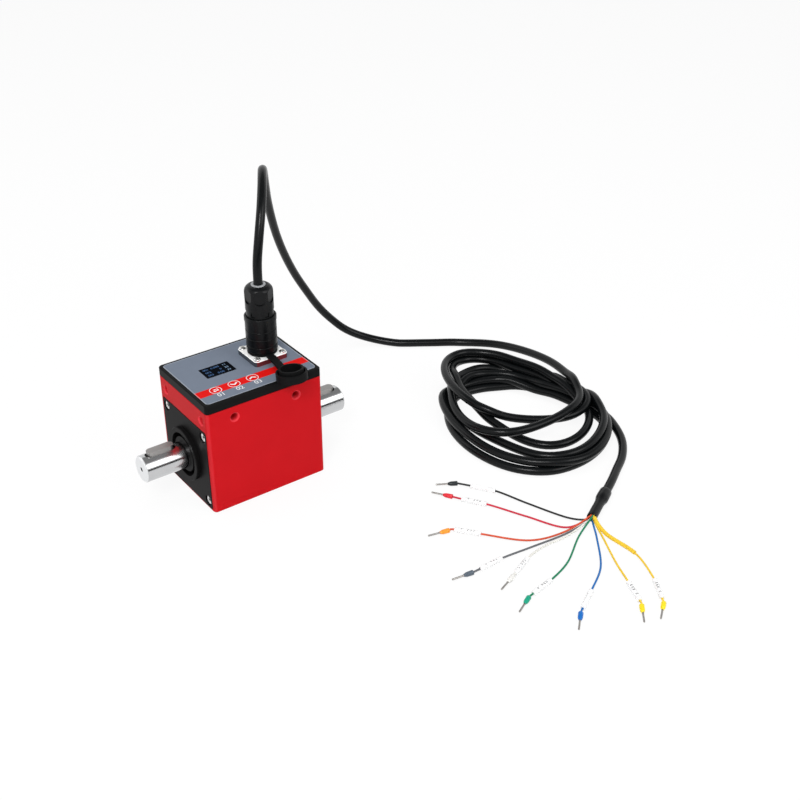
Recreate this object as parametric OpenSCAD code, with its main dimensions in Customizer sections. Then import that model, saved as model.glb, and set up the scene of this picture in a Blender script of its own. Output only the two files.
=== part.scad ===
// Rotary torque sensor. A keyed shaft turns on two ball bearings in a block housing. A display and
// three membrane keys sit under the label on top, beside a panel connector with its mated plug and
// a tethered dust cap. The cable lies in a loose coil and ends in nine marked wires with ferrules.
// Millimetres, +Z up. The origin is the centre of the base, and the shaft runs along X.

/* [Housing] */
// Length of the housing along the shaft
housing_l = 84; // [82:1:110]
// Width of the housing across the shaft
housing_w = 64; // [63:1:90]
// Height of the housing under its cover
housing_h = 74; // [72:1:100]
// Radius of the upright edges
housing_r = 2.5; // [1:0.5:4]
// Chamfer along the housing's top and bottom edges
housing_chamfer = 0.5; // [0.2:0.1:0.9]
// Height of the shaft axis above the base
axis_h = 30; // [29:0.5:32]
// Diameter of the bore between the bearings
bore_d = 40; // [39:0.5:41]
// Length of the electronics pocket in the top
pocket_l = 64; // [62:1:66]
// Width of the electronics pocket
pocket_w = 43; // [42:1:45]
// Depth of the electronics pocket
pocket_depth = 17; // [16:0.5:19]
// Corner radius of the electronics pocket
pocket_r = 4; // [2:0.5:6]

/* [Tapped holes] */
// Core diameter of the tapped holes
tap_d = 5; // [4:0.5:6]
// Depth of the tapped holes in the sides
tap_depth = 8; // [6:0.5:9]
// Width of the chamfer round each tapped hole
tap_chamfer = 0.9; // [0.5:0.1:1.2]
// Distance of the side holes below the top of the housing
tap_drop = 8; // [7:0.5:9]
// Spacing of the two holes in the front
front_hole_pitch = 45; // [36:1:48]
// Spacing of the two holes in the left end
end_hole_pitch = 47; // [40:1:50]
// Spacing of the base holes along the shaft
base_hole_x = 40; // [30:1:44]
// Spacing of the base holes across the shaft
base_hole_y = 44; // [43:1:48]
// Depth of the base holes
base_hole_depth = 10; // [8:0.5:14]

/* [Shaft] */
// Diameter of the shaft ends
shaft_d = 18; // [16:0.5:19]
// Reach of the shaft beyond each end face
shaft_reach = 33; // [30:1:45]
// Chamfer at the shaft ends
shaft_chamfer = 1; // [0.5:0.1:1.5]
// Diameter of the bearing journals
journal_d = 20; // [19.5:0.5:22]
// Diameter of the shoulders between the bearings
shoulder_d = 25; // [24:0.5:26]
// Diameter of the torsion section
torsion_d = 14; // [10:0.5:18]
// Length of the torsion section
torsion_l = 24; // [20:1:26]
// Diameter of the centre holes
centre_d = 2.6; // [2:0.1:3.2]
// Depth of the centre holes
centre_depth = 6; // [4:0.5:8]
// Width of the keys
key_w = 6; // [5:0.5:7]
// Height of the keys
key_h = 6; // [5:0.5:7]
// Length of the keys
key_l = 18.5; // [14:0.5:20]
// Depth of the keyways
keyway_depth = 3.5; // [2.5:0.25:4.5]
// Length of the keyways
keyway_l = 21; // [21:0.5:23]
// Distance of each keyway from the end of the shaft
keyway_inset = 3.5; // [3:0.25:5]
// Outer diameter of the spacer collars
collar_d = 24; // [22:0.5:26]
// Length of the spacer collars
collar_l = 7.5; // [6:0.5:8.5]

/* [Bearings] */
// Outer diameter of the bearings
bearing_od = 42; // [41.5:0.5:44]
// Width of the bearings
bearing_w = 12; // [10:0.5:13]
// Diameter of the balls
ball_d = 6.4; // [5:0.1:7]
// Number of balls in each bearing
ball_count = 9; // [7:1:10]

/* [Measuring parts] */
// Outer diameter of the rotor coil
rotor_d = 33; // [30:0.5:34.5]
// Width of the rotor and stator coils
coil_w = 9; // [7:0.5:10]
// Distance of the coils from the middle of the shaft
coil_x = 18.5; // [18:0.25:19]
// Gap between rotor and stator
air_gap = 0.75; // [0.5:0.05:1.2]
// Depth of the winding groove in each coil
winding_depth = 1.5; // [1:0.1:2]
// Outer diameter of the speed disc
disc_d = 38; // [36:0.5:38.5]
// Thickness of the speed disc
disc_t = 1.5; // [1:0.1:2]
// Distance of the speed disc from the middle of the shaft
disc_x = 17; // [16:0.5:18]
// Number of slots in the speed disc
disc_slots = 36; // [12:1:48]
// Gap of the speed pickup's fork
fork_gap = 4; // [3.4:0.1:5]
// Thickness of the fork's legs
fork_leg = 2; // [1.5:0.1:2.5]
// Width of the fork
fork_w = 8; // [6:0.5:10]

/* [End covers] */
// Width and height of the end covers
end_plate_w = 58; // [55:0.5:59]
// Thickness of the end covers
end_plate_t = 5.2; // [5:0.1:7]
// Height of the end covers above the housing's end faces
end_plate_proud = 0.2; // [0.2:0.1:2]
// Corner radius of the end covers
end_plate_r = 2; // [1:0.5:6]
// Chamfer along the end covers' outer edges
end_plate_chamfer = 0.4; // [0.2:0.1:1]
// Outer diameter of the round boss
boss_d = 36.5; // [35:0.5:38]
// Height of the round boss
boss_h = 3; // [2:0.25:5]
// Diameter of the hole that the shaft passes through
cover_bore_d = 30; // [28:0.5:31]
// Spacing of the end cover screws, both ways
end_screw_pitch = 48; // [47:0.5:49]
// Diameter of the end cover screw heads
end_head_d = 5.5; // [5:0.25:6]
// Height of the end cover screw heads
end_head_h = 3; // [2.5:0.25:3.25]
// Thread length of the end cover screws below the head
end_screw_l = 11; // [9:0.5:13]

/* [Top cover and label] */
// Thickness of the top cover
cover_t = 6; // [5.5:0.25:8]
// Thickness of the cover over the electronics
cover_roof = 3; // [2.5:0.25:3.5]
// Chamfer along the cover's top edges
cover_chamfer = 0.7; // [0.2:0.1:1.2]
// Width of the rim round the label
label_margin = 2; // [1.5:0.25:3]
// Corner radius of the label
label_r = 2.5; // [1.5:0.25:4]
// Thickness of the label film
label_t = 0.5; // [0.3:0.1:0.8]
// Distance of the cover screws from the housing's sides
cover_screw_inset = 5.5; // [5:0.25:6]
// Diameter of the cover screw heads
cover_head_d = 5.6; // [5:0.1:6]
// Length of the cover screws
cover_screw_l = 9; // [7:0.5:9.5]

/* [Display and keys] */
// Length of the display window
display_l = 20.8; // [18:0.2:22]
// Width of the display window
display_w = 12.8; // [11:0.2:14]
// Place of the display window along the shaft
display_x = -13.4; // [-14:0.2:-12]
// Place of the display window across the shaft
display_y = 4.4; // [3:0.2:5]
// Border of the display module beyond its window
display_border = 2; // [1:0.25:2.5]
// Spacing of the keys
key_pitch = 13.2; // [12:0.1:13.2]
// Place of the middle key along the shaft
keys_x = -13.6; // [-14:0.1:-12]
// Place of the key row across the shaft
keys_y = -17.3; // [-17.4:0.1:-16]
// Size of the switch bodies
switch_w = 6; // [5:0.25:6.5]
// Height of the switch bodies
switch_h = 3.5; // [3:0.25:4]
// Diameter of the switch plungers
plunger_d = 3.2; // [2.4:0.1:3.6]
// Travel of the switch plungers
plunger_travel = 0.25; // [0.15:0.05:0.4]

/* [Circuit board] */
// Length of the main board
board_l = 40; // [39:0.5:41]
// Width of the main board
board_w = 41; // [40:0.5:41.5]
// Thickness of the main board
board_t = 1.6; // [1:0.1:2]
// Distance of the board's top below the cover
board_drop = 3; // [2.5:0.1:4]
// Diameter of the board posts
post_d = 6; // [5:0.25:6.5]
// Diameter of the board screw heads
board_head_d = 4.5; // [4:0.1:5]

/* [Connector] */
// Place of the connector along the shaft
conn_x = 20; // [19.5:0.25:20.5]
// Place of the connector across the shaft
conn_y = 4; // [2:0.25:6]
// Width of the square flange
flange_w = 24.5; // [24:0.25:27]
// Thickness of the square flange
flange_t = 3.6; // [3:0.1:5]
// Corner radius of the square flange
flange_r = 2.5; // [1:0.25:4]
// Chamfer along the flange's top edges
flange_chamfer = 0.4; // [0.2:0.1:0.8]
// Spacing of the flange screws, both ways
flange_pitch = 19; // [18.8:0.1:20]
// Diameter of the flange screw heads
flange_head_d = 4.6; // [4:0.1:4.8]
// Height of the flange screw heads
flange_head_h = 1.8; // [1.2:0.1:2.2]
// Thread length of the flange screws below the head
flange_screw_l = 6; // [5:0.25:6.5]
// Outer diameter of the neck
neck_d = 13.4; // [12.8:0.1:13.8]
// Height of the neck above the flange
neck_l = 15; // [13:0.5:16]
// Wall of the neck
neck_wall = 1; // [0.8:0.1:1.3]
// Outer diameter of the shell behind the flange
rear_d = 16; // [15:0.25:17]
// Depth of the shell behind the flange
rear_l = 12; // [10:0.5:13]
// Diameter of the contact pins
contact_d = 1; // [0.7:0.1:1.2]
// Radius of the circle of contacts
contact_ring_r = 3.2; // [3:0.1:3.4]
// Number of contacts on the circle
contact_count = 8; // [4:1:8]

/* [Plug] */
// Outer diameter of the coupling sleeve
sleeve_d = 20.4; // [20.2:0.1:21]
// Length of the coupling sleeve
sleeve_l = 24.7; // [22:0.1:26]
// Travel of the coupling sleeve
sleeve_travel = 3; // [2:0.25:3.5]
// Distance of the lowest grip groove from the sleeve's lower end
grip_first = 4.2; // [3:0.1:5]
// Spacing of the grip grooves
grip_pitch = 5.6; // [4:0.1:6]
// Width of the grip grooves
grip_w = 1; // [0.6:0.1:1.6]
// Number of grip grooves
grip_count = 3; // [1:1:3]
// Chamfer at the sleeve's ends
sleeve_chamfer = 0.5; // [0.3:0.05:0.6]
// Extra diameter of the sleeve's top rim
rim_extra = 0.6; // [0.2:0.1:1.2]
// Height of the sleeve's top rim
rim_h = 3.2; // [2:0.1:4]
// Diameter of the plug body above the sleeve
plug_d = 18; // [17:0.1:18.2]
// Length of the plug body seen above the sleeve
plug_show = 4.2; // [3.8:0.1:6]
// Diameter of the gland thread
gland_thread_d = 14; // [12:0.25:15]
// Length of the gland thread
gland_thread_l = 9.5; // [7:0.25:10]
// Diameter of the gland nut
nut_d = 18.5; // [17.5:0.1:19]
// Height of the gland nut
nut_h = 16.5; // [15.5:0.25:20]
// Radius of the gland nut's rounded top edge
nut_round = 4; // [2:0.25:4.5]
// Depth of the gland nut's flats
flat_depth = 0.9; // [0.5:0.05:1.2]
// Width of the gland nut's flats
flat_w = 7.6; // [6:0.1:8]
// Outer diameter of the gland seal
seal_d = 9.5; // [8.5:0.1:10]
// Length of the gland seal
seal_l = 6.4; // [5:0.1:6.6]

/* [Dust cap] */
// Outer diameter of the dust cap
cap_d = 20.2; // [19.5:0.1:22]
// Height of the dust cap's outer wall
cap_h = 5.4; // [5:0.1:9]
// Wall of the dust cap
cap_wall = 1.1; // [0.8:0.1:1.3]
// Height of the inner seal ring above the outer wall
cap_lip = 2.2; // [0.4:0.1:3]
// Distance of the dust cap from the connector axis
cap_reach = 40.5; // [38:0.5:44]
// Turn of the dust cap about the connector axis
cap_swing = -3.5; // [-10:0.5:10]
// Tilt of the dust cap towards the connector
cap_tilt = 8; // [4:0.5:12]
// Width of the dust cap's strap
strap_w = 5; // [3:0.25:7]
// Thickness of the dust cap's strap
strap_t = 1.4; // [1:0.1:2]

/* [Cable and wires] */
// Diameter of the cable
cable_d = 6; // [5:0.1:6]
// Diameter of the heat-shrink sleeve over the cable's end
shrink_d = 8.4; // [7.4:0.1:8.6]
// Diameter of the heat-shrink sleeve round the wires
shrink_neck_d = 6.6; // [6.2:0.1:7.2]
// Length of the heat-shrink sleeve beyond the cable's end
shrink_l = 22; // [18:0.5:23]
// Length of cable held in the heat-shrink sleeve
shrink_hold = 9; // [5:0.5:12]
// Height of the cable coil
coil_h = 23; // [18:1:30]
// Diameter of the wires
wire_d = 1.3; // [1:0.1:1.5]
// Outer diameter of the sleeve on the shield wire
shield_sleeve_d = 2.8; // [2.2:0.1:3]
// Outer diameter of the wire markers
marker_d = 3.2; // [3.1:0.1:3.6]
// Length of the wire markers
marker_l = 17; // [12:0.5:17]
// Outer diameter of the ferrule collars
ferrule_d = 2.8; // [2.7:0.1:3.2]
// Length of the ferrule collars
ferrule_l = 6.5; // [5:0.25:8]
// Diameter of the ferrule pins
pin_d = 1.4; // [1:0.1:1.6]
// Length of the ferrule pins
pin_l = 8; // [6:0.5:12]

/* [Hidden] */
$fn = 64;
seat_gap = 0.02;
fit_gap = 0.15;
run_gap = 0.3;
hair = 0.01;
deep = 200;

// Heights that follow from the housing
top_z = housing_h + cover_t;
pocket_z = housing_h - pocket_depth;
label_z = top_z - label_t;
roof_z = label_z - (cover_roof - label_t);
board_z = housing_h - board_drop;
tap_z = housing_h - tap_drop;

// Places along the shaft, measured from its middle
end_x = housing_l / 2;
end_pocket_x = end_x - (end_plate_t - end_plate_proud);
bearing_x = end_pocket_x - bearing_w;
shaft_half = end_x + shaft_reach;
keyway_x = shaft_half - keyway_inset - keyway_l / 2;
plate_face_x = end_x + end_plate_proud;

// Bearing sizes
pitch_r = (bearing_od + journal_d) / 4;
race_share = 0.35;
ball_gap = 0.25;

// Room round the speed disc
disc_gap = 0.8;
disc_side_gap = 1;

// End cover screws
head_room = 0.8;
head_sink = 0.8;
counterbore_d = end_head_d + 2 * head_room;
counterbore_depth = end_head_h + head_sink;
end_thread_d = 2.8;
end_clear_d = 3.6;
socket_share = 0.5;

// Top cover screws
cover_thread_d = 2.4;
cover_clear_d = 3.2;
cover_head_h = 1.4;
label_l = housing_l - 2 * label_margin;
label_w = housing_w - 2 * label_margin;

// Display and keys
module_top_z = roof_z - fit_gap;
window_z = roof_z;
plunger_top_z = label_z - 0.2;
plunger_sink = 1.2;
key_hole_d = plunger_d + 2;

// Circuit board, its posts and its screws
board_x = -11;
board_r = 2;
board_gap = 0.5;
post_end_inset = 3.2;
post_back_inset = 3.5;
post_front_inset = 11.5;
post_xs = [board_x - board_l / 2 + post_end_inset, board_x + board_l / 2 - post_end_inset];
post_ys = [board_w / 2 - post_back_inset, -board_w / 2 + post_front_inset];
post_thread_d = 2;
board_clear_d = 2.6;
board_head_h = 1.6;
board_screw_l = 7;
chip_h = 1.2;

// Connector, from the flange upwards
flange_z = top_z + flange_t;
neck_r = neck_d / 2;
neck_bore_r = neck_r - neck_wall;
insert_top_z = top_z + 2;
contact_rise = 7;
contact_drop = 3;
flange_thread_d = 2.4;
flange_clear_d = 3.3;
tether_z = flange_z + run_gap;
sleeve_z = tether_z + strap_t + run_gap;
sleeve_top_z = sleeve_z + sleeve_l;
sleeve_throat_l = 12.3;
sleeve_step_z = sleeve_top_z - sleeve_throat_l;
plug_low_z = sleeve_step_z + sleeve_travel + 2 * run_gap;
plug_top_z = sleeve_top_z + plug_show;
nose_r = neck_bore_r - run_gap;
nose_wall = 0.7;
nose_z = insert_top_z + run_gap;
notch_count = 6;
notch_w = 3;
notch_depth = 0.8;

// Gland, from the plug body upwards
nut_z = plug_top_z + fit_gap;
nut_top_z = nut_z + nut_h;
seal_rise = 0.5;
seal_z = nut_top_z + seal_rise - seal_l;
cable_bore_d = cable_d + 0.2;
flat_count = 6;
flat_start = 5.5;
flat_turn = 3;
lead_z = plug_top_z + 3;

// Dust cap
cap_base = 1.6;
cap_groove = 1.25;
cap_inner_r = neck_r + 0.1;
cap_z = top_z + run_gap;
strap_lift = 1.6;

// Cable coil: a ring with straight sides and round ends
coil_c = [186, -59];
coil_straight = 42;
coil_outer_r = 55;
coil_inner_r = 26;

// Cord sides and routes
cable_sides = 10;
wire_sides = 8;
lead_route = [
    [conn_x, conn_y, lead_z], [conn_x, conn_y, nut_top_z + 1], [21, 5, 146], [25, 8, 161], [31, 14, 175],
    [39, 25, 185], [49, 41, 189], [57, 54, 182], [64, 65, 168], [71, 75, 151], [80, 85, 129], [88, 92, 111],
    [97, 98, 93], [107, 103, 75], [118, 106, 57], [129, 108, 40], [140, 107, 26], [152, 103, 14],
    [167, 94, 6], [184, 78, 3], [204, 64, 3], [225, 49, 3], [241, 28, 6], [247, 3, 10], [247, -20, 14],
    [244, -44, 17]];
tail_route = [
    [235, -112, 3], [230, -123, 3], [222, -133, 3], [211, -143, 3], [197, -152, 3.5], [183, -161, 4.3],
    [165, -171, 4.3]];
shrink_to = [147, -181, 4.3];
shrink_step = 4;

// Each wire lists its two bends, its marker's ends, its ferrule's start and its ferrule's tip
wire_names = ["black", "red", "orange", "grey", "white", "green", "blue", "yellow", "shield"];
wire_paints = [
    "#161616", "#b01c22", "#d8702a", "#6c7078", "#e6e4de", "#1f8a55", "#1f55a8", "#e8c21e", "#e8c21e"];
wire_routes = [
    [[136, -170], [126, -143], [118, -121], [108, -106], [103, -99], [91, -92]],
    [[128, -177], [116, -153], [104, -129], [94, -114], [91, -109], [83, -97]],
    [[124, -180], [101, -173], [81, -151], [70, -137], [67, -136], [54, -133]],
    [[124, -182], [98, -179], [76, -177], [58, -177], [53, -177], [39, -175]],
    [[124, -184], [106, -183], [89, -186], [72, -193], [70, -194], [57, -199]],
    [[128, -189], [106, -203], [86, -210], [69, -213], [65, -214], [51, -221]],
    [[136, -197], [119, -218], [99, -231], [83, -240], [80, -242], [69, -252]],
    [[139, -200], [129, -221], [122, -238], [115, -255], [113, -258], [103, -270]],
    [[144, -197], [145, -222], [136, -246], [127, -261], [125, -264], [113, -273]]];
fan_start = 0.8;
fan_half = 1.9;
fan_rise = 1.3;

// A flat outline with rounded corners
module rounded_rect(l, w, r) {
    square([l - 2 * r, w], center = true);
    square([l, w - 2 * r], center = true);
    for (x = [-1, 1], y = [-1, 1])
        translate([x * (l / 2 - r), y * (w / 2 - r)])
            circle(r);
}

// A plate with rounded corners that stands on z = 0
module rounded_plate(l, w, h, r) {
    linear_extrude(h)
        rounded_rect(l, w, r);
}

// A low top with bevelled edges that stands on z = 0, for a plate of the same outline
module bevelled_top(l, w, r, c) {
    rotate([90, 0, 0])
        linear_extrude(w - 2 * r, center = true)
            polygon([[-l / 2, 0], [l / 2, 0], [l / 2 - c, c], [-l / 2 + c, c]]);
    rotate([90, 0, 90])
        linear_extrude(l - 2 * r, center = true)
            polygon([[-w / 2, 0], [w / 2, 0], [w / 2 - c, c], [-w / 2 + c, c]]);
    at_corners(l - 2 * r, w - 2 * r)
        cylinder(r1 = r, r2 = r - c, h = c);
}

// A plate with rounded corners and bevelled top edges that stands on z = 0
module bevelled_plate(l, w, h, r, c) {
    rounded_plate(l, w, h - c, r);
    translate([0, 0, h - c])
        bevelled_top(l, w, r, c);
}

// A flat slot with round ends along X
module slot_outline(l, w) {
    square([l - w, w], center = true);
    for (x = [-1, 1])
        translate([x * (l - w) / 2, 0])
            circle(w / 2);
}

// A straight tube that stands on z = 0
module ring(od, id, h) {
    difference() {
        cylinder(d = od, h = h);
        translate([0, 0, -1])
            cylinder(d = id, h = h + 2);
    }
}

// Children drawn along +Z are laid along the shaft at place x; side -1 is left and 1 is right
module on_shaft(x, side = 1) {
    translate([0, 0, axis_h])
        mirror([side < 0 ? 1 : 0, 0, 0])
            translate([x, 0, 0])
                rotate([0, 90, 0])
                    children();
}

// Children are put at the four corners of a rectangle
module at_corners(l, w) {
    for (x = [-1, 1], y = [-1, 1])
        translate([x * l / 2, y * w / 2, 0])
            children();
}

// A tapped hole that opens at z = 0 and goes down
module tapped_hole(depth) {
    translate([0, 0, -depth])
        cylinder(d = tap_d, h = depth + 1);
    translate([0, 0, -tap_chamfer])
        cylinder(d1 = tap_d, d2 = tap_d + 2 * tap_chamfer, h = tap_chamfer);
}

// A cylinder-head screw with its head standing on z = 0 and its thread going down
module cap_screw(head_d, head_h, thread_d, thread_l) {
    difference() {
        union() {
            cylinder(d = head_d, h = head_h);
            translate([0, 0, -thread_l])
                cylinder(d = thread_d, h = thread_l + hair);
        }
        translate([0, 0, head_h / 2])
            cylinder(d = head_d * socket_share, h = head_h, $fn = 6);
    }
}

// The housing's outside, bevelled along its top and bottom edges
module housing_block() {
    translate([0, 0, housing_chamfer]) {
        bevelled_plate(housing_l, housing_w, housing_h - housing_chamfer, housing_r, housing_chamfer);
        mirror([0, 0, 1])
            bevelled_top(housing_l, housing_w, housing_r, housing_chamfer);
    }
}

module housing() {
    color("#c8181e") {
        difference() {
            housing_block();
            translate([0, 0, pocket_z])
                rounded_plate(pocket_l, pocket_w, deep, pocket_r);
            translate([board_x, 0, pocket_z])
                rounded_plate(board_l + 2 * board_gap, board_w + 2 * board_gap, deep, board_r);
            on_shaft(disc_x - disc_t / 2 - disc_side_gap)
                cylinder(d = disc_d + 2 * disc_gap, h = disc_t + 2 * disc_side_gap);
            on_shaft(-deep / 2)
                cylinder(d = bore_d, h = deep);
            for (side = [-1, 1]) {
                on_shaft(bearing_x, side)
                    cylinder(d = bearing_od + 2 * seat_gap, h = deep);
                on_shaft(end_pocket_x, side) {
                    rounded_plate(end_plate_w + 2 * fit_gap, end_plate_w + 2 * fit_gap, deep, end_plate_r);
                    at_corners(end_screw_pitch, end_screw_pitch)
                        translate([0, 0, -end_screw_l])
                            cylinder(d = end_thread_d + 2 * seat_gap, h = deep);
                }
            }
            side_holes();
            at_corners(base_hole_x, base_hole_y)
                rotate([180, 0, 0])
                    tapped_hole(base_hole_depth);
            translate([0, 0, housing_h])
                at_corners(housing_l - 2 * cover_screw_inset, housing_w - 2 * cover_screw_inset)
                    translate([0, 0, cover_t - label_t - cover_screw_l - 1])
                        cylinder(d = cover_thread_d + 2 * seat_gap, h = deep);
            translate([-coil_x, 0, axis_h])
                cylinder(d = coil_w - 3, h = deep);
            translate([disc_x, 0, axis_h + deep / 2])
                cube([fork_gap + 2 * fork_leg + 2 * fit_gap, fork_w + 2 * fit_gap, deep], center = true);
        }
        for (x = post_xs, y = post_ys)
            translate([x, y, pocket_z - hair])
                ring(post_d, post_thread_d + 2 * seat_gap, board_z - board_t - pocket_z + hair);
    }
}

// Two tapped holes in the front and two in the left end, below the cover
module side_holes() {
    for (side = [-1, 1]) {
        translate([side * front_hole_pitch / 2, -housing_w / 2, tap_z])
            rotate([90, 0, 0])
                tapped_hole(tap_depth);
        translate([-end_x, side * end_hole_pitch / 2, tap_z])
            rotate([0, -90, 0])
                tapped_hole(tap_depth);
    }
}

module end_cover(side) {
    boss_top = end_plate_t + boss_h;
    color("#1d1e20")
        on_shaft(end_pocket_x, side)
            difference() {
                union() {
                    bevelled_plate(end_plate_w, end_plate_w, end_plate_t, end_plate_r, end_plate_chamfer);
                    cylinder(d = boss_d, h = boss_top - end_plate_chamfer);
                    translate([0, 0, boss_top - end_plate_chamfer])
                        cylinder(d1 = boss_d, d2 = boss_d - 2 * end_plate_chamfer, h = end_plate_chamfer);
                }
                translate([0, 0, -1])
                    cylinder(d = cover_bore_d, h = deep);
                at_corners(end_screw_pitch, end_screw_pitch) {
                    translate([0, 0, -1])
                        cylinder(d = end_clear_d, h = deep);
                    translate([0, 0, end_plate_t - counterbore_depth])
                        cylinder(d = counterbore_d, h = deep);
                }
            }
}

module end_cover_screws() {
    color("silver")
        for (side = [-1, 1])
            on_shaft(plate_face_x - counterbore_depth, side)
                at_corners(end_screw_pitch, end_screw_pitch)
                    cap_screw(end_head_d, end_head_h, end_thread_d, end_screw_l);
}

// One half of the turned shaft, from its middle to one end
module half_shaft() {
    fillet = (shoulder_d - torsion_d) / 2;
    rotate_extrude()
        polygon([
            [0, 0],
            [torsion_d / 2, 0],
            [torsion_d / 2, torsion_l / 2 - fillet / 2],
            [torsion_d / 2 + fillet / 2, torsion_l / 2],
            [shoulder_d / 2, torsion_l / 2],
            [shoulder_d / 2, bearing_x],
            [journal_d / 2, bearing_x],
            [journal_d / 2, end_pocket_x],
            [shaft_d / 2, end_pocket_x],
            [shaft_d / 2, shaft_half - shaft_chamfer],
            [shaft_d / 2 - shaft_chamfer, shaft_half],
            [0, shaft_half]]);
}

module shaft() {
    color("#d6d8da")
        difference() {
            for (side = [-1, 1])
                on_shaft(0, side)
                    half_shaft();
            for (side = [-1, 1]) {
                on_shaft(shaft_half - centre_depth, side) {
                    cylinder(d = centre_d, h = centre_depth + 1);
                    translate([0, 0, centre_depth - centre_d / 4])
                        cylinder(d1 = centre_d, d2 = centre_d * 1.5, h = centre_d / 4 + hair);
                }
                translate([side * keyway_x, 0, axis_h + shaft_d / 2 - keyway_depth])
                    linear_extrude(keyway_depth + 1)
                        slot_outline(keyway_l, key_w + 2 * seat_gap);
            }
        }
}

module key(side) {
    color("#8d8d8a")
        translate([side * keyway_x, 0, axis_h + shaft_d / 2 - keyway_depth])
            linear_extrude(key_h)
                slot_outline(key_l, key_w);
}

module shaft_collar(side) {
    color("#2a2b2d")
        on_shaft(end_pocket_x, side)
            ring(collar_d, shaft_d + 2 * seat_gap, collar_l);
}

// A bearing ring between two radii, with the groove that the balls run in
module bearing_ring(r_in, r_out) {
    rotate_extrude()
        difference() {
            translate([r_in, 0])
                square([r_out - r_in, bearing_w]);
            translate([pitch_r, bearing_w / 2])
                circle(ball_d / 2 + ball_gap);
        }
}

module bearing_outer(side) {
    color("#b9bcc0")
        on_shaft(bearing_x, side)
            bearing_ring(pitch_r + ball_d * race_share, bearing_od / 2);
}

module bearing_inner(side) {
    color("#b9bcc0")
        on_shaft(bearing_x, side)
            bearing_ring(journal_d / 2 + seat_gap, pitch_r - ball_d * race_share);
}

module bearing_balls(side) {
    color("#dfe1e3")
        on_shaft(bearing_x, side)
            for (i = [0 : ball_count - 1])
                rotate([0, 0, i * 360 / ball_count])
                    translate([pitch_r, 0, bearing_w / 2])
                        sphere(d = ball_d);
}

module rotor_coil() {
    color("#b5713a")
        on_shaft(coil_x - coil_w / 2, -1)
            difference() {
                ring(rotor_d, shoulder_d + 2 * seat_gap, coil_w);
                translate([0, 0, coil_w / 4])
                    ring(rotor_d + 1, rotor_d - 2 * winding_depth, coil_w / 2);
            }
}

module stator_coil() {
    stator_id = rotor_d + 2 * air_gap;
    color("#b5713a")
        on_shaft(coil_x - coil_w / 2, -1)
            difference() {
                ring(bore_d - 2 * seat_gap, stator_id, coil_w);
                translate([0, 0, coil_w / 4])
                    cylinder(d = stator_id + 2 * winding_depth, h = coil_w / 2);
            }
}

// Two gauge foils bonded to opposite sides of the torsion section
module strain_gauges() {
    foil_t = 0.3;
    foil_l = torsion_l / 3;
    foil_angle = 70;
    color("#c9a24a")
        for (turn = [0, 180])
            on_shaft(-foil_l / 2)
                rotate([0, 0, turn - foil_angle / 2])
                    rotate_extrude(angle = foil_angle)
                        translate([torsion_d / 2 + seat_gap, 0])
                            square([foil_t, foil_l]);
}

module speed_disc() {
    slot_depth = 3;
    slot_w = disc_d * PI / disc_slots / 2;
    color("#7d8288")
        on_shaft(disc_x - disc_t / 2)
            difference() {
                ring(disc_d, shoulder_d + 2 * seat_gap, disc_t);
                for (i = [0 : disc_slots - 1])
                    rotate([0, 0, i * 360 / disc_slots])
                        translate([disc_d / 2, 0, disc_t / 2])
                            cube([2 * slot_depth, slot_w, disc_t + 2], center = true);
            }
}

// A fork that straddles the speed disc and hangs from the pocket's floor
module speed_pickup() {
    fork_l = fork_gap + 2 * fork_leg;
    fork_low = axis_h + disc_d / 2 - 4;
    lug = 3;
    lug_t = 2;
    color("#33363a")
        translate([disc_x, 0, 0])
            difference() {
                union() {
                    translate([-fork_l / 2, -fork_w / 2, fork_low])
                        cube([fork_l, fork_w, pocket_z + lug_t - fork_low]);
                    translate([0, 0, pocket_z])
                        rounded_plate(fork_l + 2 * lug, fork_w + 2 * lug, lug_t, lug / 2);
                }
                translate([-fork_gap / 2, -fork_w, fork_low - 1])
                    cube([fork_gap, 2 * fork_w, axis_h + disc_d / 2 + 1 - fork_low + 1]);
            }
}

module main_board() {
    color("#1f6b3f")
        difference() {
            union() {
                translate([board_x, 0, board_z - board_t])
                    rounded_plate(board_l, board_w, board_t, board_r);
                translate([board_x, 0, board_z - board_t - chip_h])
                    rounded_plate(board_l / 4, board_w / 4, chip_h + hair, chip_h / 2);
            }
            for (x = post_xs, y = post_ys)
                translate([x, y, 0])
                    cylinder(d = board_clear_d, h = deep);
        }
}

module board_screws() {
    color("silver")
        for (x = post_xs, y = post_ys)
            translate([x, y, board_z])
                cap_screw(board_head_d, board_head_h, post_thread_d, board_screw_l);
}

// The display's glass on its open frame
module display_module() {
    frame_l = display_l + 2 * display_border;
    frame_w = display_w + 2 * display_border;
    glass_t = 1.4;
    color("#202226")
        translate([display_x, display_y, board_z])
            difference() {
                rounded_plate(frame_l, frame_w, module_top_z - board_z, display_border / 2);
                translate([0, 0, -1])
                    rounded_plate(display_l, display_w, module_top_z - board_z - glass_t + 1, display_border / 2);
            }
}

module display_window() {
    color("#0b0d12")
        translate([display_x, display_y, window_z])
            rounded_plate(display_l, display_w, top_z - window_z, fit_gap);
}

module key_switches() {
    color("#26282b")
        for (i = [-1 : 1])
            translate([keys_x + i * key_pitch, keys_y, board_z])
                difference() {
                    translate([-switch_w / 2, -switch_w / 2, 0])
                        cube([switch_w, switch_w, switch_h]);
                    translate([0, 0, switch_h - plunger_sink - 2 * plunger_travel])
                        cylinder(d = plunger_d + 2 * run_gap, h = deep);
                }
}

module key_plunger(i) {
    plunger_z = board_z + switch_h - plunger_sink;
    color("#e2ddd0")
        translate([keys_x + (i - 2) * key_pitch, keys_y, plunger_z])
            cylinder(d = plunger_d, h = plunger_top_z - plunger_z);
}

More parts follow.
